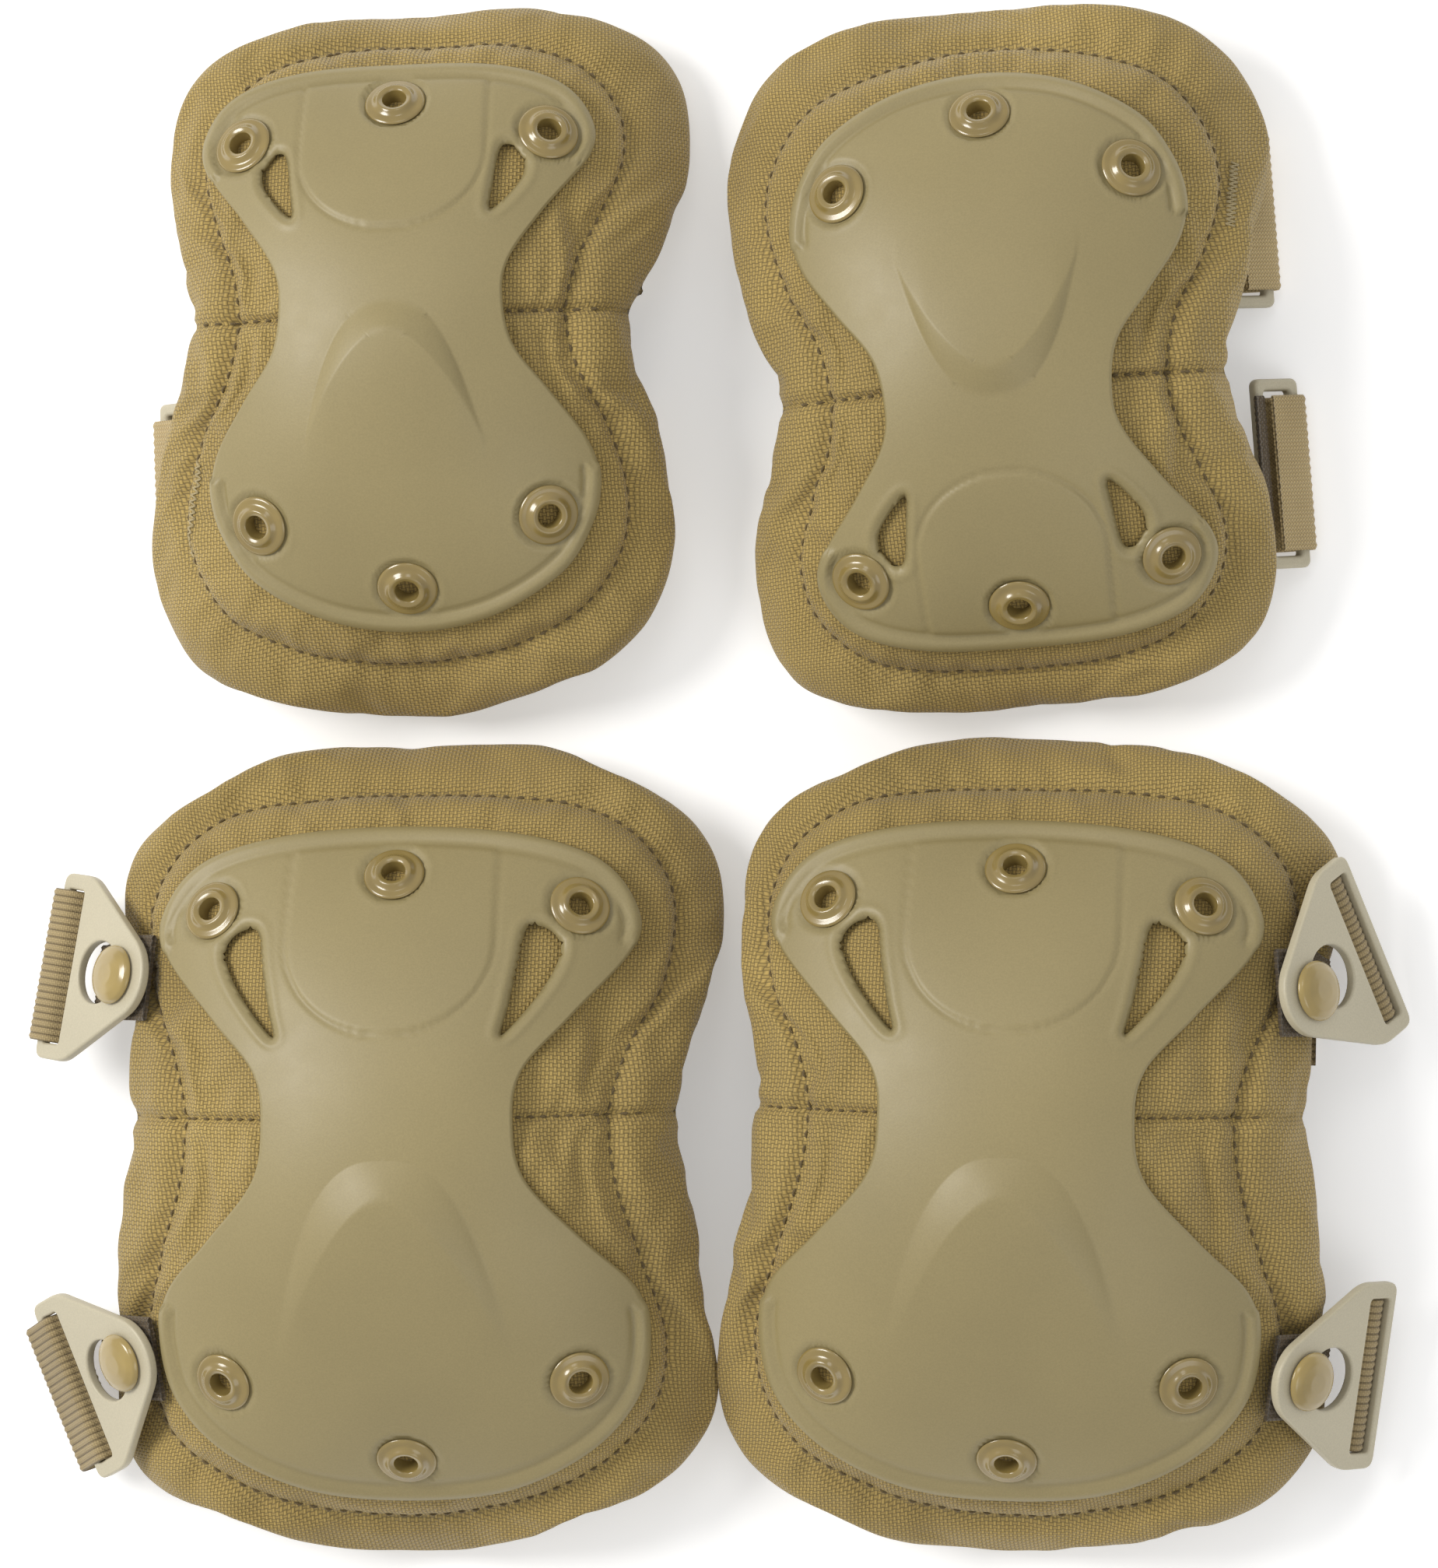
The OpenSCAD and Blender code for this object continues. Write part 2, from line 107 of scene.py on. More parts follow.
ELBOW = Shape(
    rx=91, ry=114, fade=69, mid=-4, apex=71.6,
    pad=[(0, 99), (30, 98), (52, 93), (67, 83), (73, 66), (71, 35), (63.5, 8),
         (69, -18), (75, -50), (74, -68), (67, -82), (53, -94), (30, -102), (0, -106)],
    cap=[(0, 79.5), (27.5, 78.5), (46, 73), (54.5, 63), (54.5, 52), (42.5, 36), (33.5, 22.5), (31.5, 12),
         (34, -2), (43.5, -15.5), (52.5, -29), (55, -40), (52, -53), (43, -66), (23.5, -76.5), (0, -80)],
    stitch=[(0, 89), (26, 88), (45, 82), (58, 69), (61, 53), (56, 36), (50, 22), (48, 8),
            (51, -8), (60, -26), (65, -46), (62, -63), (51, -78), (33, -87), (14, -91), (0, -92)],
    vent=[(31.5, 55), (35, 54.5), (37.5, 50), (36, 44), (28.5, 36.4), (29, 44), (30, 51)],
    eyelets=[(0, 68.2), (43.6, 58.4), (-43.6, 58.4), (41, -49.8), (-41, -49.8), (0, -68.4)],
    rim_from=48.5, rim_to=-36, arch=(26.8, 53.5, 22),
    facet=(10.5, 0.0048, 3, 0.109, -38, 8), seam=8, half_facet=25, pad_reach=102)
CLOTH_GROWTH = np.array([1.035, 1.02])
# How each soft pad has settled about its cap: sideways shift, lean, extra half width, extra half length (mm)
SETTLED = {
    "knee_left": (-0.9, 0.047, 2.5, 0),
    "knee_right": (4.5, 0.02, 0.5, 0),
    "elbow_left": (1.2, 0.085, 0.8, 0),
    "elbow_right": (0.7, 0.033, 1.5, -1.5),
}

SET_SHIFT = (5.6, -2.6)
GUARDS = {
    "knee_left": (KNEE, -92, -108, 0.9),
    "knee_right": (KNEE, 84, -106, -1),
    "elbow_left": (ELBOW, -92, 128, 1.9),
    "elbow_right": (ELBOW, 80.5, 122.5, 184.5),
}
CLIPS = {
    "knee_left": (("upper", -1, 55, -5), ("lower", -1, -56, 20)),
    "knee_right": (("upper", 1, 50, 27), ("lower", 1, -60, 0)),
}
RINGS = {
    "elbow_left": (("upper", 52, 37, 16), ("lower", 69, -39, 15)),
    "elbow_right": (("upper", 70.5, 37, 15), ("lower", 66, -39, 14.2)),
}
BARTACKS = {
    "elbow_left": (((-60, -31), (-67, -58)),),
    "elbow_right": (((-71, -52), (-67, -33)),),
}
STRAP_W = 45
STRAP_T = 1.6

# ---------------- small helpers


def guard_matrix(name):
    _, x, y, turn = GUARDS[name]
    place = Matrix.Translation((x + SET_SHIFT[0], y + SET_SHIFT[1], 0))
    return place @ Matrix.Rotation(math.radians(turn), 4, "Z")


def smoothstep(a, b, v):
    t = np.clip((v - a) / (b - a), 0, 1)
    return t * t * (3 - 2 * t)


def mirrored(half):
    half = np.array(half, float)
    inner = half[1:-1][::-1] * [-1, 1]
    return np.vstack([half, inner])[::-1]


def curve_through(points, steps, closed=True):
    """A smooth curve through the points."""
    p = np.array(points, float)
    if closed:
        a, b, c, d = np.roll(p, 1, 0), p, np.roll(p, -1, 0), np.roll(p, -2, 0)
    else:
        q = np.vstack([2 * p[0] - p[1], p, 2 * p[-1] - p[-2]])
        a, b, c, d = q[:-3], q[1:-2], q[2:-1], q[3:]
    out = []
    for t in np.arange(steps) / steps:
        out.append(0.5 * (2 * b + (c - a) * t + (2 * a - 5 * b + 4 * c - d) * t ** 2
                          + (3 * b - a - 3 * c + d) * t ** 3))
    line = np.stack(out, 1).reshape(-1, p.shape[1])
    return line if closed else np.vstack([line, p[-1]])


def even(points, count, closed=True):
    """The same line with its points evenly spaced."""
    p = np.vstack([points, points[:1]]) if closed else np.array(points)
    s = np.concatenate([[0], np.cumsum(np.linalg.norm(np.diff(p, axis=0), axis=1))])
    want = np.linspace(0, s[-1], count, endpoint=not closed)
    return np.stack([np.interp(want, s, p[:, k]) for k in range(p.shape[1])], -1)


def distance_to(line, points, closed=True):
    """Distance from each point to a line, and the nearest place on it."""
    length = np.linalg.norm(np.diff(line, axis=0), axis=1).sum()
    dense = even(line, int(length / 0.12), closed)
    tree = KDTree(len(dense))
    for i, (x, y) in enumerate(dense):
        tree.insert((x, y, 0), i)
    tree.balance()
    found = [tree.find((x, y, 0)) for x, y in points]
    return np.array([f[2] for f in found]), np.array([f[0][:2] for f in found])


def inside(line, points):
    """True for each point inside the closed line."""
    a = np.array(line)
    b = np.roll(a, -1, 0)
    odd = np.zeros(len(points), bool)
    for p, q in zip(a, b):
        crosses = (p[1] > points[:, 1]) != (q[1] > points[:, 1])
        x = (q[0] - p[0]) * (points[:, 1] - p[1]) / (q[1] - p[1] + 1e-12) + p[0]
        odd ^= crosses & (points[:, 0] < x)
    return odd


def settled(guard, line, share, ragged):
    """An outline of the pad as it has settled, with soft corners all round."""
    shift, lean, wider, longer = SETTLED[guard]
    seed = sorted(GUARDS).index(guard)
    reach = np.abs(line).max(axis=0)
    out = line.copy()
    out[:, 0] += share * (line[:, 0] / reach[0] * wider + shift + lean * line[:, 1])
    out[:, 1] += share * line[:, 1] / reach[1] * longer
    return out * (1 + ragged * smooth_noise(line, 62, seed + 40))[:, None]


def pad_line(guard):
    line = curve_through(mirrored(GUARDS[guard][0].pad), 12) * CLOTH_GROWTH
    return settled(guard, line, 1.0, 0.011)


def stitch_line(guard):
    return settled(guard, curve_through(mirrored(GUARDS[guard][0].stitch), 12), 0.6, 0.0)


def ring_radius(outline, middle, angles):
    """The outline's distance from the middle at each angle."""
    rel = outline - middle
    ang = np.arctan2(rel[:, 1], rel[:, 0])
    order = np.argsort(ang)
    ang, rad = ang[order], np.linalg.norm(rel, axis=1)[order]
    ang = np.concatenate([ang - 2 * math.pi, ang, ang + 2 * math.pi])
    return np.interp(angles, ang, np.tile(rad, 3))


def mesh_object(name, verts, faces, material, uv=None, smooth=True, place=None):
    """A mesh object from points in mm; place is the matrix in mm that puts it in the frame."""
    mesh = bpy.data.meshes.new(name)
    v = np.asarray(verts, float).reshape(-1, 3)
    if place is not None:
        m = np.array(place)
        v = v @ m[:3, :3].T + m[:3, 3]
    mesh.from_pydata((v * MM).tolist(), [], [list(map(int, f)) for f in faces])
    if uv is not None:
        layer = mesh.uv_layers.new(name="UVMap")
        index = np.zeros(len(mesh.loops), int)
        mesh.loops.foreach_get("vertex_index", index)
        layer.data.foreach_set("uv", np.asarray(uv, float)[index].ravel())
    mesh.polygons.foreach_set("use_smooth", [smooth] * len(mesh.polygons))
    mesh.materials.append(material)
    mesh.update()
    obj = bpy.data.objects.new(name, mesh)
    bpy.context.scene.collection.objects.link(obj)
    return obj


def grid_faces(rows, cols, wrap=True):
    faces = []
    for r in range(rows - 1):
        for c in range(cols if wrap else cols - 1):
            n = (c + 1) % cols
            faces.append((r * cols + c, (r + 1) * cols + c, (r + 1) * cols + n, r * cols + n))
    return faces


def lathe(profile, steps=48):
    """Points and faces of a profile (r, z) turned about z."""
    prof = np.array(profile, float)
    ang = np.arange(steps) * 2 * math.pi / steps
    verts = np.stack([np.outer(prof[:, 0], np.cos(ang)), np.outer(prof[:, 0], np.sin(ang)),
                      np.outer(prof[:, 1], np.ones(steps))], -1).reshape(-1, 3)
    return verts, [f[::-1] for f in grid_faces(len(prof), steps)]


def rounded(points, radius, steps=4):
    """A closed or open profile with its inner corners cut round."""
    p = np.array(points, float)
    out = [p[0]]
    for a, b, c in zip(p[:-2], p[1:-1], p[2:]):
        la, lc = np.linalg.norm(a - b), np.linalg.norm(c - b)
        r = min(radius, la / 2.1, lc / 2.1)
        s, e = b + (a - b) / la * r, b + (c - b) / lc * r
        for t in np.linspace(0, 1, steps + 1):
            out.append((1 - t) ** 2 * s + 2 * t * (1 - t) * b + t * t * e)
    out.append(p[-1])
    return np.array(out)


def joined(parts):
    """Several (points, faces) as one."""
    verts, faces, base = [], [], 0
    for v, f in parts:
        verts.append(v)
        faces += [[i + base for i in face] for face in f]
        base += len(v)
    return np.vstack(verts), faces


def moved(part, matrix):
    v, f = part
    m = np.array(matrix)
    return v @ m[:3, :3].T + m[:3, 3], f


def on_pad_matrix(s, x, y):
    """A frame on the pad's face with its z along the dome's normal."""
    n = s.normal(np.array(float(x)), np.array(float(y)))
    p = s.point(float(x), float(y))
    turn = Matrix.Rotation(math.atan2(n[0], n[2]), 4, "Y") @ Matrix.Rotation(-math.asin(n[1]), 4, "X")
    return Matrix.Translation(tuple(p)) @ turn


def smooth_noise(points, wave, seed):
    """A soft random value in -1..1 at each point, from a few waves in random directions."""
    r = np.random.default_rng(seed)
    total = np.zeros(len(points))
    for _ in range(7):
        d = r.normal(size=points.shape[1])
        d /= np.linalg.norm(d)
        total += np.sin(points @ d * 2 * math.pi / (wave * r.uniform(0.7, 1.5)) + r.uniform(0, 6.28))
    return total / 3.5


# ---------------- materials


def shader(name, roughness, **sockets):
    mat = bpy.data.materials.new(name)
    mat.use_nodes = True
    bsdf = mat.node_tree.nodes["Principled BSDF"]
    bsdf.inputs["Roughness"].default_value = roughness
    for key, value in sockets.items():
        bsdf.inputs[key.replace("_", " ")].default_value = value
    return mat, mat.node_tree, bsdf


def node(tree, kind, **settings):
    n = tree.nodes.new(kind)
    for key, value in settings.items():
        setattr(n, key, value)
    return n


def calc(tree, operation, a, b=None):
    n = node(tree, "ShaderNodeMath", operation=operation)
    for socket, value in zip(n.inputs, (a, b)):
        if value is None:
            continue
        if isinstance(value, (int, float)):
            socket.default_value = value
        else:
            tree.links.new(value, socket)
    return n.outputs[0]


def noise(tree, scale, detail=3, coords=None):
    n = node(tree, "ShaderNodeTexNoise")
    n.inputs["Scale"].default_value = scale
    n.inputs["Detail"].default_value = detail
    source = coords if coords is not None else node(tree, "ShaderNodeTexCoord").outputs["Object"]
    tree.links.new(source, n.inputs["Vector"])
    return n.outputs["Fac"]


def ramp(tree, fac, stops):
    n = node(tree, "ShaderNodeValToRGB")
    tree.links.new(fac, n.inputs["Fac"])
    for i, (pos, colour) in enumerate(stops):
        e = n.color_ramp.elements[i] if i < 2 else n.color_ramp.elements.new(pos)
        e.position = pos
        e.color = (*colour, 1)
    return n.outputs["Color"]


def mix(tree, fac, a, b, blend="MIX"):
    n = node(tree, "ShaderNodeMix", data_type="RGBA", blend_type=blend)
    for socket, value in ((n.inputs["Factor"], fac), (n.inputs["A"], a), (n.inputs["B"], b)):
        if isinstance(value, (int, float)):
            socket.default_value = value
        elif isinstance(value, tuple):
            socket.default_value = (*value, 1)
        else:
            tree.links.new(value, socket)
    return n.outputs["Result"]


def bump(tree, bsdf, height, strength, depth_mm, under=None):
    n = node(tree, "ShaderNodeBump")
    n.inputs["Strength"].default_value = strength
    n.inputs["Distance"].default_value = depth_mm * MM
    tree.links.new(height, n.inputs["Height"])
    if under is not None:
        tree.links.new(under, n.inputs["Normal"])
    tree.links.new(n.outputs["Normal"], bsdf.inputs["Normal"])
    return n.outputs["Normal"]


def shade(colour, k):
    return tuple(min(1, c * k) for c in colour)


CAP_TAN = (0.292, 0.236, 0.108)
CLOTH_TAN = (0.345, 0.243, 0.071)
CLIP_TAN = (0.500, 0.450, 0.320)
OCHRE = (0.290, 0.210, 0.066)
WEB_TAN = (0.330, 0.250, 0.120)


def moulded(name, colour, grain_mm, depth, roughness):
    mat, tree, bsdf = shader(name, roughness)
    broad = noise(tree, 18, 2)
    fine = noise(tree, 1000 / grain_mm, 2)
    tint = ramp(tree, broad, [(0.3, shade(colour, 0.95)), (0.7, shade(colour, 1.05))])
    speck = ramp(tree, fine, [(0.3, (0.9, 0.9, 0.9)), (0.7, (1, 1, 1))])
    tree.links.new(mix(tree, 1.0, tint, speck, "MULTIPLY"), bsdf.inputs["Base Color"])
    rough = node(tree, "ShaderNodeMapRange")
    tree.links.new(noise(tree, 120, 3), rough.inputs["Value"])
    rough.inputs["To Min"].default_value = roughness - 0.06
    rough.inputs["To Max"].default_value = roughness + 0.06
    tree.links.new(rough.outputs["Result"], bsdf.inputs["Roughness"])
    bump(tree, bsdf, fine, 0.5, depth)
    return mat


def woven(name, colour, period, contrast=0.45, depth=0.3, twill=False, rib_shade_pitch=None):
    """Plain weave drawn from the UV map, which holds millimetres; ribs run along the first axis, and with a
    rib pitch given the valleys between the ribs get painted shade.
    """
    mat, tree, bsdf = shader(name, 0.78, Sheen_Weight=0.15, Sheen_Roughness=0.5)
    uv = node(tree, "ShaderNodeUVMap", uv_map="UVMap")
    split = node(tree, "ShaderNodeSeparateXYZ")
    tree.links.new(uv.outputs["UV"], split.inputs[0])
    u = calc(tree, "DIVIDE", split.outputs[0], period)
    v = calc(tree, "DIVIDE", split.outputs[1], period)
    if twill:
        v, u = calc(tree, "ADD", u, v), calc(tree, "SUBTRACT", u, v)
    across = calc(tree, "ABSOLUTE", calc(tree, "SINE", calc(tree, "MULTIPLY", u, math.pi)))
    along = calc(tree, "ABSOLUTE", calc(tree, "SINE", calc(tree, "MULTIPLY", v, math.pi)))
    squares = calc(tree, "ADD", calc(tree, "FLOOR", u), calc(tree, "FLOOR", v))
    over = calc(tree, "ABSOLUTE", calc(tree, "MODULO", squares, 2))
    warp = calc(tree, "MULTIPLY", across, over)
    weft = calc(tree, "MULTIPLY", calc(tree, "MULTIPLY", along, calc(tree, "SUBTRACT", 1, over)), 0.72)
    height = calc(tree, "ADD", warp, weft)
    dark, light = shade(colour, 1 - contrast), shade(colour, 1 + contrast * 0.45)
    thread = ramp(tree, height, [(0.05, dark), (0.95, light)])
    broad = ramp(tree, noise(tree, 22, 4), [(0.3, (0.86, 0.85, 0.83)), (0.7, (1.1, 1.1, 1.1))])
    tint = mix(tree, 1.0, thread, broad, "MULTIPLY")
    # painted shade: the valleys between the webbing's ribs are painted darker, down to 0.45 of the colour
    if rib_shade_pitch is not None:
        wave = calc(tree, "SINE", calc(tree, "MULTIPLY", split.outputs[1], math.pi / rib_shade_pitch))
        valley_shade_fac = calc(tree, "ABSOLUTE", wave)
        ribs = ramp(tree, valley_shade_fac, [(0.1, (0.45, 0.43, 0.4)), (0.7, (1.05, 1.05, 1.05))])
        tint = mix(tree, 1.0, tint, ribs, "MULTIPLY")
    tree.links.new(tint, bsdf.inputs["Base Color"])
    bump(tree, bsdf, height, 0.8, depth)
    return mat


def lacquered(name, colour):
    mat, tree, bsdf = shader(name, 0.22, Specular_IOR_Level=0.6, Coat_Weight=0.5, Coat_Roughness=0.12)
    tint = ramp(tree, noise(tree, 90, 3), [(0.3, shade(colour, 0.88)), (0.7, shade(colour, 1.1))])
    tree.links.new(tint, bsdf.inputs["Base Color"])
    bump(tree, bsdf, noise(tree, 700, 2), 0.15, 0.05)
    return mat


MATERIALS = {
    "cap": moulded("cap_plastic", CAP_TAN, 0.55, 0.05, 0.46),
    "clip": moulded("clip_plastic", CLIP_TAN, 0.5, 0.03, 0.42),
    "cover": woven("cover_weave", CLOTH_TAN, 1.15, 0.6),
    "lining": woven("lining_mesh", (0.20, 0.145, 0.07), 1.6, 0.6, 0.5, twill=True),
    "webbing": woven("ribbed_webbing", WEB_TAN, 0.6, 0.3, 0.15, rib_shade_pitch=STRAP_W / 22),
    "loop_webbing": woven("loop_webbing", shade(WEB_TAN, 1.5), 1.1, 0.4, 0.3, twill=True),
    "tab": woven("tab_webbing", (0.10, 0.07, 0.035), 0.8),
    "thread": woven("dark_thread", (0.17, 0.115, 0.035), 0.3),
    "bartack": woven("light_thread", (0.55, 0.44, 0.22), 0.3),
    "eyelet": lacquered("eyelet_lacquer", shade(OCHRE, 0.85)),
    "stud": lacquered("stud_lacquer", shade(OCHRE, 1.12)),
    "washer": lacquered("washer_lacquer", shade(OCHRE, 0.8)),
}

# ---------------- hard cap

CAP_FACE = 3.5
CAP_T = 2.1
EYELET_HOLE_R = 4.6
VENT_SNAP = 0.55


def cap_height(s, x, y, edge, near, side_vent):
    """Height of the cap's face above its plain face: rim, groove, arch, facet, seats and vents."""
    rim_h, rim_in, rim_out = 1.0, 2.8, 3.4
    groove_depth, groove_at = 0.8, 4.2
    line_h, line_depth = 0.35, 0.55
    facet_h = 3.4
    seat_depth, seat_in, seat_out = 0.75, 9.3, 9.9
    lip_h, lip_at = 0.35, 2.6
    h = np.zeros(len(x))
    # raised rim and the groove inside it, cut short at the waist
    rim = np.where((near[:, 1] > s.rim_from) | (near[:, 1] < s.rim_to), 1.0, 0.0)
    h += rim * rim_h * (1 - smoothstep(rim_in, rim_out, edge))
    h -= rim * groove_depth * np.exp(-((edge - groove_at) / 0.7) ** 2)
    # engraved arch
    ax, ay, drop = s.arch
    t = np.abs(x) / ax
    low = ay - drop * np.sqrt(np.clip(1 - t ** 2, 0, 1))
    line = np.where(y > ay, np.abs(np.abs(x) - ax),
                    np.abs(np.hypot(x / ax, (y - ay) / drop) - 1) * (ax + drop) / 2)
    inner = (y > low) & (np.abs(x) < ax)
    line_on = edge > 4.5
    h += np.where(inner & line_on, line_h, 0.0) * smoothstep(0, 0.7, line)
    h -= line_on * line_depth * np.exp(-(line / 0.6) ** 2)
    # raised facet with a sloping band over it
    top, ka, low_top, kb, fade_from, fade_to = s.facet
    outer = top - ka * np.abs(x) ** 2.8
    inner_line = low_top - kb * np.abs(x) ** 1.75
    band = np.maximum(outer - inner_line, 0.5)
    rise = np.clip((outer - y) / band, 0, 1)
    rise = np.where(outer > inner_line, rise, (y < outer) * 1.0)
    rise *= smoothstep(s.half_facet + 2, s.half_facet - 8, np.abs(x)) * 0.6 + 0.4 * (np.abs(x) < s.half_facet)
    h += facet_h * rise * smoothstep(fade_from, fade_to, y)
    # seats under the eyelets
    here = s.point(x, y)
    for ex, ey in s.eyelets:
        r = np.linalg.norm(here - s.point(ex, ey), axis=1)
        outside_seat = smoothstep(seat_in, seat_out, r)
        h = np.where(r < seat_out, h * outside_seat - seat_depth * (1 - outside_seat), h)
        h += 0.22 * np.exp(-((r - 10.5) / 0.5) ** 2)
    # soft lips at the vents and a rounded outer edge
    h -= 1.3 * np.exp(-(side_vent / 1.0) ** 1.6)
    h += lip_h * np.exp(-((side_vent - lip_at) / 0.9) ** 2)
    h -= 0.9 * (1 - smoothstep(0, 0.9, edge)) ** 2
    return h


def make_cap(guard):
    s = GUARDS[guard][0]
    spokes, rings = 440, 84
    outline = even(curve_through(mirrored(s.cap), 16), spokes)
    middle = np.array([0, s.mid])
    f = np.linspace(0, 1, rings + 1)[1:]
    f = f + 0.06 * np.sin(math.pi * f) * (1 - f)
    # one ring close to the edge keeps its rounding sharp
    f[-2] = 1 - 0.45 / 80
    flat = middle + f[:, None, None] * (outline - middle)
    flat = np.vstack([middle[None], flat.reshape(-1, 2)])
    # pull the nearest grid points onto the edge of each vent, so that it cuts clean
    vents = [curve_through(np.array(s.vent) * [k, 1], 12) for k in (1, -1)]
    vent_gap = np.full(len(flat), 1e9)
    cut = np.zeros(len(flat), bool)
    for vent in vents:
        r, near = distance_to(vent, flat)
        hole = inside(vent, flat)
        snap = r < VENT_SNAP
        flat[snap] = near[snap]
        cut |= hole & ~snap
        vent_gap = np.minimum(vent_gap, np.where(snap, 0, r))
    for ex, ey in s.eyelets:
        here = s.point(flat[:, 0], flat[:, 1])
        cut |= np.linalg.norm(here - s.point(ex, ey), axis=1) < EYELET_HOLE_R
    edge, near = distance_to(outline, flat)
    h = cap_height(s, flat[:, 0], flat[:, 1], edge, near, vent_gap)
    verts = s.point(flat[:, 0], flat[:, 1], CAP_FACE + h)
    faces = [(0, 1 + c, 1 + (c + 1) % spokes) for c in range(spokes)]
    faces += [tuple(1 + i for i in face) for face in grid_faces(rings, spokes)]
    on_edge = vent_gap < 1e-6
    keep = []
    for face in faces:
        if any(cut[i] for i in face) or all(on_edge[i] for i in face):
            continue
        keep.append(face)
    used = np.unique([i for face in keep for i in face])
    index = np.full(len(verts), -1)
    index[used] = np.arange(len(used))
    keep = [tuple(index[i] for i in face) for face in keep]
    obj = mesh_object(f"{guard}_cap_shell", verts[used], keep, MATERIALS["cap"], place=guard_matrix(guard))
    solid = obj.modifiers.new("thickness", "SOLIDIFY")
    solid.thickness = CAP_T * MM
    solid.offset = -1
    return obj


def turned_rings(name, guard, profile, steps, material):
    """The same turned part at every eyelet place, as one mesh."""
    s = GUARDS[guard][0]
    verts, faces = joined([moved(lathe(profile, steps), on_pad_matrix(s, x, y)) for x, y in s.eyelets])
    return mesh_object(name, verts, faces, material, place=guard_matrix(guard))


def make_eyelets(guard):
    base = 2.95
    profile = rounded([
        (3.4, -4.6), (3.4, base + 1.9), (5.0, base + 2.5), (5.9, base + 1.5), (6.6, base + 0.95),
        (8.3, base + 0.75), (8.9, base + 0.1), (8.2, base - 0.1)], 0.5)
    return turned_rings(f"{guard}_eyelet_rings", guard, profile, 48, MATERIALS["eyelet"])


def make_washers(guard):
    profile = rounded([(4.5, -4.5), (4.5, -3.6), (8.7, -3.6), (8.7, -4.5), (4.5, -4.5)], 0.2, 2)
    return turned_rings(f"{guard}_backing_washers", guard, profile, 32, MATERIALS["washer"])


# ---------------- padded shell

PAD_T = 13.8
EDGE_H = -6.6
LINING_T = 0.9
SEAM_DEPTH, SEAM_HALF = 1.6, 1.6
STUD_DENT, STUD_DENT_R, STUD_DENT_X = 3.4, 19, 88


def pad_profile(t):
    """Height of the padded border, from the stitch line (t = 0) to the pad's edge (t = 1)."""
    puff = -1.9 + 4.6 * (1 - (1 - np.clip(t / 0.34, 0, 1)) ** 2)
    fall = EDGE_H + (2.7 - EDGE_H) * np.sqrt(np.clip(1 - ((t - 0.34) / 0.66) ** 2, 0, 1))
    return np.where(t < 0.34, puff, fall)


def pad_grid(guard, spokes, inner, border, under):
    """Points in plan, heights, what each ring of the pad is, and the stitch line."""
    s = GUARDS[guard][0]
    middle = np.array([0, s.mid])
    edge = even(pad_line(guard), spokes)
    angles = np.arctan2(edge[:, 1] - middle[1], edge[:, 0])
    ring = stitch_line(guard)
    ring_r = ring_radius(ring, middle, angles)
    edge_r = np.linalg.norm(edge - middle, axis=1)
    direction = (edge - middle) / edge_r[:, None]
    rows = []
    for f in np.linspace(0, 1, inner + 1)[1:]:
        f = f ** 0.85
        h = 1.1 * np.exp(-((f - 0.93) / 0.05) ** 2) - 1.9 * np.exp(-((1 - f) / 0.022) ** 2)
        rows.append((f * ring_r, np.full(spokes, h), f - 1))
    for k in range(1, border + 1):
        t = math.sin(k / border * math.pi / 2)
        rows.append((ring_r + t * (edge_r - ring_r), np.full(spokes, float(pad_profile(np.array(t)))), t))
    for k in range(1, under + 1):
        a = k / under
        t = 1 - 0.75 * (1 - math.cos(a * math.pi / 2))
        h = EDGE_H - (PAD_T + EDGE_H) * math.sin(a * math.pi / 2)
        rows.append((ring_r + t * (edge_r - ring_r), np.full(spokes, h), 1 + a))
    radius = np.array([r[0] for r in rows])
    height = np.array([r[1] for r in rows])
    kind = np.repeat([r[2] for r in rows], spokes)
    flat = middle + radius[:, :, None] * direction[None]
    return flat.reshape(-1, 2), height.ravel(), kind, ring


def relax_cloth(obj, pins, frames, pressure, limit):
    """Blows the cover up against its stitched lines, and keeps each point within the limit of its start."""
    group = obj.vertex_groups.new(name="stitched")
    for i, w in enumerate(pins):
        if w > 0:
            group.add([i], float(w), "REPLACE")
    cloth = obj.modifiers.new("cloth", "CLOTH")
    settings = cloth.settings
    settings.quality = 5
    settings.mass = 0.25
    settings.tension_stiffness = 12
    settings.compression_stiffness = 12
    settings.shear_stiffness = 4
    settings.bending_stiffness = 0.35
    settings.vertex_group_mass = group.name
    settings.shrink_min = -0.045
    settings.use_pressure = True
    settings.uniform_pressure_force = pressure
    settings.effector_weights.gravity = 0
    cloth.collision_settings.use_collision = False
    cloth.collision_settings.use_self_collision = False
    cloth.point_cache.frame_start = 1
    cloth.point_cache.frame_end = frames
    start = np.zeros(len(obj.data.vertices) * 3)
    obj.data.vertices.foreach_get("co", start)
    start = start.reshape(-1, 3)
    scene = bpy.context.scene
    for f in range(1, frames + 1):
        scene.frame_set(f)
    evaluated = obj.evaluated_get(bpy.context.evaluated_depsgraph_get())
    end = np.zeros(len(evaluated.data.vertices) * 3)
    evaluated.data.vertices.foreach_get("co", end)
    end = end.reshape(-1, 3)
    obj.modifiers.remove(cloth)
    move = end - start
    far = np.linalg.norm(move, axis=1, keepdims=True)
    move *= np.minimum(1, limit / np.maximum(far, 1e-9))
    obj.data.vertices.foreach_set("co", (start + move).ravel())
    obj.data.update()
    scene.frame_set(1)


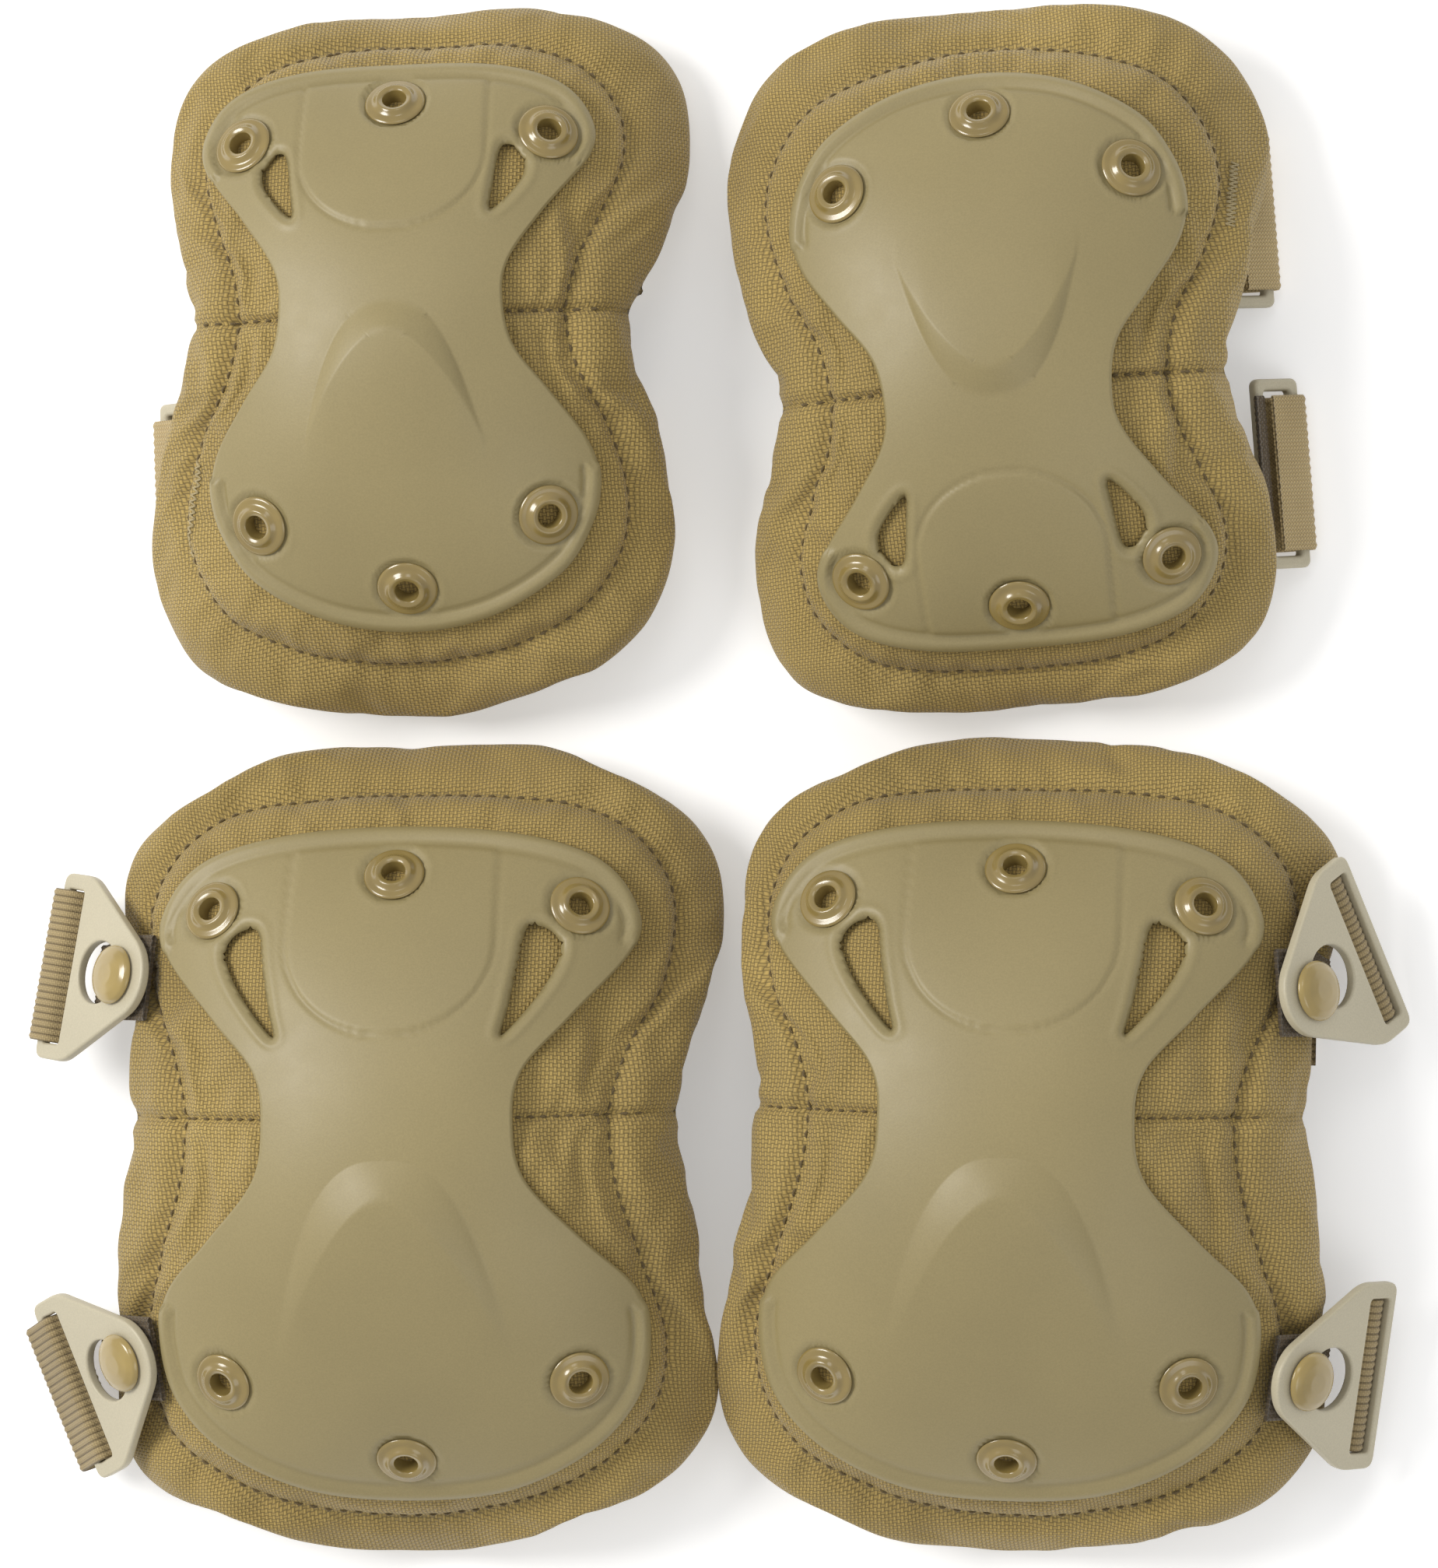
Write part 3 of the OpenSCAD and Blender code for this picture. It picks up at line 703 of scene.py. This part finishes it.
def make_cover(guard):
    s = GUARDS[guard][0]
    spokes, inner, border, under = 216, 26, 12, 4
    flat, height, kind, ring = pad_grid(guard, spokes, inner, border, under)
    seed = sorted(GUARDS).index(guard)
    side = np.abs(flat[:, 1] - s.seam)
    outside_cap = ~inside(curve_through(mirrored(s.cap), 8), flat)
    height = height - SEAM_DEPTH * np.exp(-(side / SEAM_HALF) ** 2) * outside_cap * (kind < 1)
    for _, stud_side, stud_y, _ in CLIPS.get(guard, ()):
        away = np.hypot(flat[:, 0] - stud_side * STUD_DENT_X, flat[:, 1] - stud_y)
        height = height - STUD_DENT * np.exp(-(away / STUD_DENT_R) ** 2) * (kind < 1.01)
    verts = s.point(flat[:, 0], flat[:, 1], height)
    crown = s.point(0.0, float(s.mid), 0)
    verts = np.vstack([crown[None], verts])
    rows = inner + border + under
    faces = [(0, 1 + c, 1 + (c + 1) % spokes) for c in range(spokes)]
    faces += [tuple(1 + i for i in face) for face in grid_faces(rows, spokes)]
    uv = np.vstack([s.flat(np.array([0.0]), np.array([float(s.mid)])), s.flat(flat[:, 0], flat[:, 1])])
    sign = np.where(flat[:, 0] < 0, -1, 1)
    uv[1:, 0] += sign * np.where(kind > 0.6, np.maximum(0, -height), 0) * 0.7
    obj = mesh_object(f"{guard}_padded_cover", verts, faces, MATERIALS["cover"],
                      uv=uv, place=guard_matrix(guard))
    pins = np.zeros(len(verts))
    under_cap = inside(curve_through(mirrored(s.cap) * 0.97, 8), flat)
    stitched = np.abs(kind) < 0.012
    low = kind > 1.2
    seam = (side < SEAM_HALF) & outside_cap
    pins[1:] = np.where(under_cap | stitched | low | seam, 1.0, 0.0)
    pins[0] = 1
    relax_cloth(obj, pins, frames=16, pressure=3.5, limit=3.2 * MM)
    sub = obj.modifiers.new("round", "SUBSURF")
    sub.levels = 1
    sub.render_levels = 1
    obj.data.update()
    dg = bpy.context.evaluated_depsgraph_get()
    mesh = bpy.data.meshes.new_from_object(obj.evaluated_get(dg))
    obj.modifiers.clear()
    obj.data = mesh
    pucker(guard, obj, s, ring, seed)
    return obj


def pucker(guard, obj, s, ring, seed):
    """Presses the stitched lines in and gathers the cloth beside them."""
    count = len(obj.data.vertices)
    co = np.zeros(count * 3)
    obj.data.vertices.foreach_get("co", co)
    m = np.array(guard_matrix(guard).inverted())
    local = (co.reshape(-1, 3) / MM) @ m[:3, :3].T + m[:3, 3]
    flat = local[:, :2]
    top = local[:, 2] > s.apex - s.drop(flat[:, 0], np.clip(flat[:, 1], -125, 125)) - 5
    r, near = distance_to(even(ring, 240), flat)
    turn = np.unwrap(np.arctan2(near[:, 1] - s.mid, near[:, 0]))
    gather = np.sin(turn * 62 + 2.5 * smooth_noise(flat, 60, seed + 10))
    h = top * (0.42 * gather * np.exp(-(r / 5.0)) * smoothstep(0.4, 1.8, r) - 0.9 * np.exp(-(r / 0.8) ** 2))
    side = np.abs(flat[:, 1] - s.seam)
    beyond = ~inside(curve_through(mirrored(s.cap), 8), flat)
    h -= top * beyond * 1.4 * np.exp(-(side / 0.9) ** 2)
    h += top * beyond * 0.4 * np.sin(flat[:, 0] * 0.75 + 1.5 * np.sin(flat[:, 1] * 0.11 + seed)) \
        * np.exp(-side / 7) * smoothstep(1, 4, side)
    h += beyond * 0.45 * smooth_noise(local, 26, seed + 20)
    n = s.normal(flat[:, 0], np.clip(flat[:, 1], -125, 125))
    local = local + h[:, None] * n
    local[:, 2] = np.maximum(local[:, 2], 1.9)
    m = np.array(guard_matrix(guard))
    world = (local @ m[:3, :3].T + m[:3, 3]) * MM
    obj.data.vertices.foreach_set("co", world.ravel())
    obj.data.update()


def make_lining(guard):
    """The panel inside the guard, with a turned edge."""
    s = GUARDS[guard][0]
    spokes, rings = 200, 30
    middle = np.array([0, s.mid])
    outline = even(pad_line(guard), spokes)
    f = np.linspace(0, 0.955, rings + 1)[1:]
    flat = (middle + f[:, None, None] * (outline - middle)).reshape(-1, 2)
    edge = np.repeat(1 - f / 0.955, spokes)
    quilt = 0.8 * np.cos(flat[:, 0] * math.pi / 17) * np.cos(flat[:, 1] * math.pi / 17)
    h = -PAD_T + 1.2 - 1.0 * smoothstep(0, 0.05, edge) + 0.5 * quilt * smoothstep(0, 0.25, edge)
    verts = np.vstack([s.point(0.0, float(s.mid), -PAD_T)[None], s.point(flat[:, 0], flat[:, 1], h)])
    faces = [(0, 1 + (c + 1) % spokes, 1 + c) for c in range(spokes)]
    faces += [tuple(1 + i for i in face[::-1]) for face in grid_faces(rings, spokes)]
    uv = np.vstack([[[0, 0]], s.flat(flat[:, 0], flat[:, 1])])
    obj = mesh_object(f"{guard}_inner_lining", verts, faces, MATERIALS["lining"],
                      uv=uv, place=guard_matrix(guard))
    solid = obj.modifiers.new("thickness", "SOLIDIFY")
    solid.thickness = LINING_T * MM
    solid.offset = -1
    return obj


def surface_of(obj, guard):
    """The cover's real face in the guard's own frame, in mm."""
    m = guard_matrix(guard).inverted()
    verts = [m @ (v.co / MM) for v in obj.data.vertices]
    return BVHTree.FromPolygons(verts, [tuple(f.vertices) for f in obj.data.polygons])


def on_surface(tree, s, x, y, lift):
    """Points in plan, dropped along the dome's normal onto the real face."""
    out = []
    for base, n, h in zip(s.point(x, y, 12), s.normal(x, y), lift):
        hit = tree.ray_cast(Vector(base), Vector(-n), 30)[0]
        out.append(np.array(hit) + n * h if hit is not None else base - n * (13.5 - h))
    return np.array(out)


def stitches(line, lift, length, gap, radius, s, tree):
    """Short raised threads along a line on the pad, as one mesh."""
    total = np.linalg.norm(np.diff(line, axis=0), axis=1).sum()
    count = max(2, int(total / (length + gap)))
    line = even(line, count * 2, closed=False)
    parts = []
    steps = np.linspace(0, 1, 5)
    for a, b in zip(line[0::2], line[1::2]):
        path = a + steps[:, None] * (b - a)
        bow = lift + radius * (1.4 * np.sin(steps * math.pi) - 0.9)
        p = on_surface(tree, s, path[:, 0], path[:, 1], bow)
        parts.append(tube(p, radius * (0.55 + 0.45 * np.sin(steps * math.pi)), 6))
    return joined(parts)


def tube(path, radii, sides):
    """A closed tube along a short path."""
    d = np.gradient(path, axis=0)
    d /= np.linalg.norm(d, axis=1, keepdims=True)
    side = np.cross(d, [0, 0, 1.0])
    side /= np.linalg.norm(side, axis=1, keepdims=True)
    up = np.cross(side, d)
    ang = np.arange(sides) * 2 * math.pi / sides
    ring = (np.cos(ang)[None, :, None] * side[:, None] + np.sin(ang)[None, :, None] * up[:, None])
    verts = (path[:, None] + ring * np.reshape(radii, (-1, 1, 1))).reshape(-1, 3)
    faces = grid_faces(len(path), sides)
    last = (len(path) - 1) * sides
    faces += [tuple(range(sides)), tuple(last + i for i in range(sides))[::-1]]
    return verts, faces


def make_stitching(guard, cover):
    """Dark thread round the pad and along its side seams."""
    s = GUARDS[guard][0]
    tree = surface_of(cover, guard)
    ring = even(stitch_line(guard), 400)
    ring = np.vstack([ring, ring[:1]])
    parts = [stitches(ring, 0.25, 2.9, 1.4, 0.42, s, tree)]
    waist = [abs(x) for x, y in mirrored(s.cap) if abs(y - s.seam) < 6][0] + 1.5
    flank = s.stitch[:9][::-1]
    reach = np.interp(s.seam, [p[1] for p in flank], [p[0] for p in flank]) + 9
    for side in (1, -1):
        seam = np.array([(side * waist, s.seam), (side * reach, s.seam)])
        parts.append(stitches(seam, 0.3, 2.2, 0.9, 0.4, s, tree))
    verts, faces = joined(parts)
    return mesh_object(f"{guard}_ring_stitches", verts, faces, MATERIALS["thread"],
                       uv=verts[:, :2], place=guard_matrix(guard))


def make_bartacks(guard, cover):
    """Light zigzag lines where the strap ends are sewn through an elbow pad."""
    s = GUARDS[guard][0]
    tree = surface_of(cover, guard)
    parts = []
    for start, end in BARTACKS[guard]:
        line = np.array([start, end], float)
        across = np.array([line[0][1] - line[1][1], line[1][0] - line[0][0]])
        across /= np.linalg.norm(across)
        steps = np.linspace(0, 1, 30)[:, None]
        swing = np.where(np.arange(30) % 2, 0.9, -0.9)[:, None]
        zigzag = line[0] + steps * (line[1] - line[0]) + across * swing
        for a, b in zip(zigzag[:-1], zigzag[1:]):
            path = a + np.linspace(0, 1, 4)[:, None] * (b - a)
            laid = on_surface(tree, s, path[:, 0], path[:, 1], np.full(4, 0.25))
            parts.append(tube(laid, np.full(4, 0.32), 5))
    verts, faces = joined(parts)
    return mesh_object(f"{guard}_bartacks", verts, faces, MATERIALS["bartack"],
                       uv=verts[:, :2], place=guard_matrix(guard))


# ---------------- webbing, clips, studs and rings

STUD_X = 82
STUD_LIFT = 3.4 + 2
# where on the dome each side's clips take their lean from
LEAN_X = {-1: -74.0, 1: 84.0}
RING_LEAN = 45
CLIP_T = 3
RING_BAR = 3.4


def ribbon(path, width, thickness, ribs):
    """Flat webbing along a path in x and z, centred on y = 0, with ribs along its length."""
    p = np.array(path, float)
    d = np.gradient(p, axis=0)
    d /= np.linalg.norm(d, axis=1, keepdims=True)
    n = np.stack([-d[:, 1], d[:, 0]], -1)
    cells = ribs * 4
    across = np.linspace(-width / 2, width / 2, cells + 1)
    wave = 0.5 - 0.5 * np.cos(np.linspace(0, 2 * math.pi * ribs, cells + 1))
    edge = 1 - smoothstep(width / 2 - 0.8, width / 2, np.abs(across)) * 0.55
    half = (thickness / 2 - 0.36 + 0.36 * wave) * edge
    loop_y = np.concatenate([across, across[::-1]])
    loop_h = np.concatenate([half, -half[::-1]])
    verts = np.stack([
        p[:, None, 0] + n[:, None, 0] * loop_h, np.tile(loop_y, (len(p), 1)),
        p[:, None, 1] + n[:, None, 1] * loop_h], -1).reshape(-1, 3)
    cols = len(loop_y)
    faces = grid_faces(len(p), cols)
    last = (len(p) - 1) * cols
    faces += [tuple(range(cols))[::-1], tuple(last + i for i in range(cols))]
    run = np.concatenate([[0], np.cumsum(np.linalg.norm(np.diff(p, axis=0), axis=1))])
    uv = np.stack([np.repeat(run, cols), np.tile(loop_y, len(p))], -1)
    return verts, faces, uv


def webbing_object(name, path, place, material, ribs=22, thickness=STRAP_T, width=STRAP_W, step=0.8):
    line = curve_through(path, 10, closed=False)
    length = np.linalg.norm(np.diff(line, axis=0), axis=1).sum()
    line = even(line, max(8, int(length / step)), closed=False)
    verts, faces, uv = ribbon(line, width, thickness, ribs)
    return mesh_object(name, verts, faces, material, uv=uv, place=place)


def stud_matrix(guard, side, y):
    s = GUARDS[guard][0]
    n = s.normal(np.array(LEAN_X[side]), np.array(float(y)))
    z = s.apex - float(s.drop(STUD_X, float(y))) + STUD_LIFT
    m = Matrix.Rotation(math.pi if side < 0 else 0, 4, "Z") @ Matrix.Translation((STUD_X, side * y, z))
    m = m @ Matrix.Rotation(math.atan2(side * n[0], n[2]), 4, "Y")
    m = m @ Matrix.Rotation(-math.asin(side * n[1]), 4, "X")
    return guard_matrix(guard) @ m


def ring_matrix(guard, x, y, z):
    m = Matrix.Rotation(math.pi, 4, "Z") @ Matrix.Translation((x, -y, z))
    return guard_matrix(guard) @ m @ Matrix.Rotation(math.radians(RING_LEAN), 4, "Y")


def plate(name, outlines, thickness, bevel, base, place, material):
    """A flat plate with holes and rounded edges; the first outline is its rim."""
    curve = bpy.data.curves.new(name, "CURVE")
    curve.dimensions = "2D"
    curve.fill_mode = "BOTH"
    curve.extrude = thickness / 2 - bevel
    curve.bevel_depth = bevel
    curve.bevel_resolution = 3
    curve.offset = -bevel
    for points in outlines:
        spline = curve.splines.new("POLY")
        spline.points.add(len(points) - 1)
        spline.points.foreach_set("co", [c for p in points for c in (p[0], p[1], 0, 1)])
        spline.use_cyclic_u = True
    flat = bpy.data.objects.new(name + "_flat", curve)
    bpy.context.scene.collection.objects.link(flat)
    mesh = bpy.data.meshes.new_from_object(flat.evaluated_get(bpy.context.evaluated_depsgraph_get()))
    bpy.data.objects.remove(flat)
    mesh.name = name
    mesh.transform(Matrix.Translation((0, 0, base + thickness / 2)))
    mesh.transform(place)
    mesh.transform(Matrix.Scale(MM, 4))
    mesh.materials.clear()
    mesh.materials.append(material)
    mesh.polygons.foreach_set("use_smooth", [True] * len(mesh.polygons))
    mesh.set_sharp_from_angle(angle=math.radians(35))
    obj = bpy.data.objects.new(name, mesh)
    bpy.context.scene.collection.objects.link(obj)
    return obj


def circle(x, y, r, steps=40, start=0, end=2 * math.pi):
    ang = np.linspace(start, end, steps, endpoint=end - start < 6.2)
    return [(x + r * math.cos(a), y + r * math.sin(a)) for a in ang]


def rounded_box(x0, y0, x1, y1, r, steps=6):
    out = []
    for cx, cy, a in ((x1 - r, y1 - r, 0), (x0 + r, y1 - r, 1), (x0 + r, y0 + r, 2), (x1 - r, y0 + r, 3)):
        out += circle(cx, cy, r, steps, a * math.pi / 2, (a + 1) * math.pi / 2)
    return out


def keyhole(seat, release, travel):
    """Two overlapping circles as one outline."""
    cross = (seat ** 2 - release ** 2 + travel ** 2) / (2 * travel)
    high = math.sqrt(seat ** 2 - cross ** 2)
    small = math.atan2(high, cross)
    big = math.atan2(high, cross - travel)
    return circle(0, 0, seat, 20, small, 2 * math.pi - small) + circle(travel, 0, release, 36, -big, big)


def clip_rim():
    """Rounded nose, straight flanks and a wide end with rounded corners."""
    nose, half, shoulder, end = 13, 27.5, 19, 33
    away = math.hypot(shoulder, half)
    touch = math.atan2(half, shoulder) + math.acos(nose / away)
    tip = circle(0, 0, nose, 28, touch, 2 * math.pi - touch)
    corner = np.array([tip[-1], (shoulder, -half), (end, -half), (end, 0)], float)
    low = rounded(corner, 3.5, 5)[1:]
    return tip + [tuple(p) for p in low] + [(p[0], -p[1]) for p in low[::-1][1:]]


def make_clip(guard, which, side, y, turn):
    place = stud_matrix(guard, side, y) @ Matrix.Rotation(math.radians(turn), 4, "Z")
    slot = rounded_box(22.3, -22.8, 30.3, 22.8, 1.2)
    outlines = [clip_rim(), keyhole(seat=5, release=9.2, travel=9), slot]
    return plate(f"{guard}_{which}_keyhole_clip", outlines, CLIP_T, bevel=0.7, base=1.1,
                 place=place, material=MATERIALS["clip"])


def make_stud(guard, which, side, y):
    profile = rounded([
        (0, -2.9), (4.2, -2.9), (4.2, -2.2), (2, -2.2), (2, 0.3), (7, 0.3), (7, 0.9), (4.4, 0.9),
        (4.4, 4.6), (8.4, 4.6), (8.7, 5.2), (8.0, 6.4), (6.0, 7.3), (3.0, 7.75), (0, 7.8)], 0.5)
    verts, faces = lathe(profile, 56)
    return mesh_object(f"{guard}_{which}_mushroom_stud", verts, faces, MATERIALS["stud"],
                       place=stud_matrix(guard, side, y))


def placed_ribbons(name, ribbons):
    """Short ribbons, each with the matrix that places it, as one mesh."""
    verts, faces = joined([moved((v, f), matrix) for (v, f, _), matrix in ribbons])
    uv = np.vstack([uv for (_, _, uv), _ in ribbons])
    return mesh_object(name, verts, faces, MATERIALS["tab"], uv=uv)


def make_tabs(guard, pieces):
    """Folded webbing tabs under the studs."""
    ribbons = []
    for _, side, y, *_ in pieces:
        tip = TAB_TIP[side]
        path = [(-10, -1.2), (-6, -1.1), (0, -1), (7, -1), (tip, -1.2)]
        v, f, uv = ribbon(even(curve_through(path, 6, closed=False), 30, closed=False), 25, 1.9, 13)
        narrow = 1 - 0.25 * smoothstep(4, 13, v[:, 0])
        v = v * np.stack([np.ones(len(v)), narrow, np.ones(len(v))], -1)
        ribbons.append(((v, f, uv), stud_matrix(guard, side, y)))
    return placed_ribbons(f"{guard}_folded_tabs", ribbons)


# Webbing paths in mm: along the strap, and up. The runs lie under a guard; the folds go round a bar
KNEE_STRAP = [(-75.5, 13), (-72.5, 6.5), (-65, 2.2), (-57, 0.95), (-20, 0.85), (60, 0.85), (84, 0.9)]
OVER_BAR = [(25.4, -2.4), (24.8, -0.4), (26.2, 2.2), (28, 4.7), (30.4, 5.7), (33, 5.4),
            (35.2, 3.8), (35.9, 0.8), (34.3, -1.8), (31, -3), (26, -3.4)]
UNDER_BAR = [(35.2, -1.2), (32.5, -0.6), (30.2, 0.6), (28.4, 2.3), (26.4, 2.9), (24.4, 2.2), (23.5, 0.4),
             (24.2, -1.2), (27, -2.2), (31, -2.8), (34.5, -3)]
# How far each tab reaches past its stud, on the left and on the right
TAB_TIP = {-1: 14.4, 1: 12.4}
# How much longer a strap end is than its path
STRAP_REACH = {"knee_left_upper": 1, "knee_left_lower": 8}
ELBOW_STRAP = [(65, 14), (62, 7), (55, 2.2), (47, 0.95), (0, 0.85), (-48, 0.85), (-62, 0.9)]
ELBOW_END = [(3.4, 2.9), (5, 3), (8, 3.1), (12, 3.3), (15, 3), (16.6, 1.6), (17, 0), (16.5, -1.6),
             (15, -3.4), (12, -5), (8, -6.4)]


def guard_place(guard, y):
    return guard_matrix(guard) @ Matrix.Translation((0, y, 0))


def make_knee_straps(guard):
    out = []
    for which, side, y, turn in CLIPS[guard]:
        path = [(x * side, z) for x, z in KNEE_STRAP]
        run = webbing_object(f"{guard}_{which}_webbing", path, guard_place(guard, y),
                             MATERIALS["webbing"], step=1.6)
        place = stud_matrix(guard, side, y) @ Matrix.Rotation(math.radians(turn), 4, "Z")
        path = np.array(OVER_BAR if side < 0 else UNDER_BAR)
        reach = STRAP_REACH.get(f"{guard}_{which}", 0)
        path[:, 0] += reach * (path[:, 0] > 30)
        path[:, 1] -= 0.35 * reach * (path[:, 0] > 34)
        end = webbing_object(f"{guard}_{which}_webbing_fold", path, place, MATERIALS["webbing"], step=0.6)
        out.append((which, run, end))
    return out


def make_elbow_straps(guard):
    out = []
    for which, *at in RINGS[guard]:
        run = webbing_object(f"{guard}_{which}_webbing", ELBOW_STRAP, guard_place(guard, at[1]),
                             MATERIALS["webbing"], step=1.6)
        end = webbing_object(f"{guard}_{which}_webbing_fold", ELBOW_END, ring_matrix(guard, *at),
                             MATERIALS["loop_webbing"], ribs=18, step=0.6)
        out.append((which, run, end))
    return out


def make_ring(guard, which, at):
    outlines = [rounded_box(-1.7, -27.5, 15.2, 27.5, 2.2), rounded_box(1.7, -23.9, 11.6, 23.9, 1.0)]
    return plate(f"{guard}_{which}_strap_ring", outlines, RING_BAR, bevel=1.1, base=-1.7,
                 place=ring_matrix(guard, *at), material=MATERIALS["clip"])


def make_ring_tabs(guard):
    """Short webbing tabs that hold the rings."""
    path = [(-3.2, 2.9), (-2.2, 2.95), (-1.1, 2.95), (0, 2.9)]
    ribbons = [(ribbon(path, STRAP_W, STRAP_T, 22), ring_matrix(guard, *at)) for _, *at in RINGS[guard]]
    return placed_ribbons(f"{guard}_ring_webbing_tabs", ribbons)


def build_guard(guard):
    """Makes every piece of one guard, and says what each stands for and rides on."""
    body = f"{guard}_guard"
    knee = guard in CLIPS
    cover = make_cover(guard)
    lining = make_lining(guard)
    own = [
        (make_cap(guard), "cap_plastic", ("cap",)), (make_eyelets(guard), "eyelet_metal", ("eyelets",)),
        (make_washers(guard), "eyelet_metal", ("eyelet_washers",)),
        (cover, "woven_cover", ("front_cover", "foam_core")), (lining, "lining", ("back_lining",)),
        (make_stitching(guard, cover), "woven_cover", ()),
    ]
    if knee:
        own.append((make_tabs(guard, CLIPS[guard]), "webbing", ("stud_tabs",)))
    else:
        own.append((make_ring_tabs(guard), "webbing", ("ring_tabs",)))
        own.append((make_bartacks(guard, cover), "woven_cover", ()))
    for piece, slot, nodes in own:
        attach(piece, body)
        if nodes:
            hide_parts(*[f"{guard}_{n}" for n in nodes])
    straps = make_knee_straps(guard) if knee else make_elbow_straps(guard)
    for which, run, end in straps:
        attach(run, body)
        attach(end, f"{guard}_{which}_" + ("buckle" if knee else "link"))
        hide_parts(f"{guard}_{which}_strap")
        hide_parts(f"{guard}_{which}_strap_end")
    if knee:
        for which, side, y, turn in CLIPS[guard]:
            clip = make_clip(guard, which, side, y, turn)
            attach(clip, f"{guard}_{which}_buckle")
            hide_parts(f"{guard}_{which}_clip")
            stud = make_stud(guard, which, side, y)
            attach(stud, f"{guard}_{which}_pivot")
            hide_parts(f"{guard}_{which}_stud")
    else:
        for which, *at in RINGS[guard]:
            ring = make_ring(guard, which, at)
            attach(ring, f"{guard}_{which}_link")
            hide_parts(f"{guard}_{which}_ring")


# ---------------- room, light and camera

# metres, and degrees from straight down
CAMERA_DISTANCE = 2.0
CAMERA_TILT = 7
CAMERA_SHIFT = (0.0031, -0.0008)
VIEW_HEIGHT = 0.4534
SENSOR_MM = 36


def make_floor():
    mat, _, bsdf = shader("white_floor", 0.9)
    bsdf.inputs["Base Color"].default_value = (0.92, 0.92, 0.92, 1)
    bsdf.inputs["Emission Color"].default_value = (1, 1, 1, 1)
    bsdf.inputs["Emission Strength"].default_value = 0.3
    size, low = 6, -0.0003
    mesh = bpy.data.meshes.new("floor")
    corners = [(-size, -size, low), (size, -size, low), (size, size, low), (-size, size, low)]
    mesh.from_pydata(corners, [], [(0, 1, 2, 3)])
    mesh.materials.append(mat)
    floor = bpy.data.objects.new("floor", mesh)
    bpy.context.scene.collection.objects.link(floor)
    floor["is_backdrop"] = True


def area_light(name, position, size, power, colour=(1, 1, 1)):
    light = bpy.data.lights.new(name, "AREA")
    light.shape = "DISK"
    light.size = size
    light.energy = power
    light.color = colour
    obj = bpy.data.objects.new(name, light)
    obj.location = position
    obj.rotation_euler = (-Vector(position)).to_track_quat("-Z", "Y").to_euler()
    bpy.context.scene.collection.objects.link(obj)


def make_camera():
    lo, hi = (Vector(c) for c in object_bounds())
    target = Vector(((lo.x + hi.x) / 2 + CAMERA_SHIFT[0], (lo.y + hi.y) / 2 + CAMERA_SHIFT[1], 0.03))
    tilt = math.radians(CAMERA_TILT)
    away = Vector((math.sin(tilt), 0, math.cos(tilt)))
    data = bpy.data.cameras.new("camera")
    data.sensor_width = SENSOR_MM
    data.sensor_fit = "AUTO"
    data.lens = SENSOR_MM * CAMERA_DISTANCE / VIEW_HEIGHT
    data.clip_end = 20
    cam = bpy.data.objects.new("camera", data)
    back = away.normalized()
    right = Vector((0, 1, 0)).cross(back).normalized()
    up = back.cross(right)
    rot = Matrix((right, up, back)).transposed().to_4x4()
    cam.matrix_world = Matrix.Translation(target + away * CAMERA_DISTANCE) @ rot
    bpy.context.scene.collection.objects.link(cam)
    bpy.context.scene.camera = cam


world = bpy.data.worlds.new("studio")
world.use_nodes = True
world.node_tree.nodes["Background"].inputs["Color"].default_value = (1, 1, 1, 1)
world.node_tree.nodes["Background"].inputs["Strength"].default_value = 0.62
bpy.context.scene.world = world
bpy.context.scene.view_settings.view_transform = "Standard"

make_floor()
make_camera()
area_light("key", (-1.3, 0.5, 1.5), 0.9, 27, (1, 0.985, 0.96))
area_light("fill", (1.2, -0.9, 1.8), 1.2, 5)
area_light("top", (0.1, 1.0, 1.9), 0.7, 2.5)

for guard_name in GUARDS:
    build_guard(guard_name)
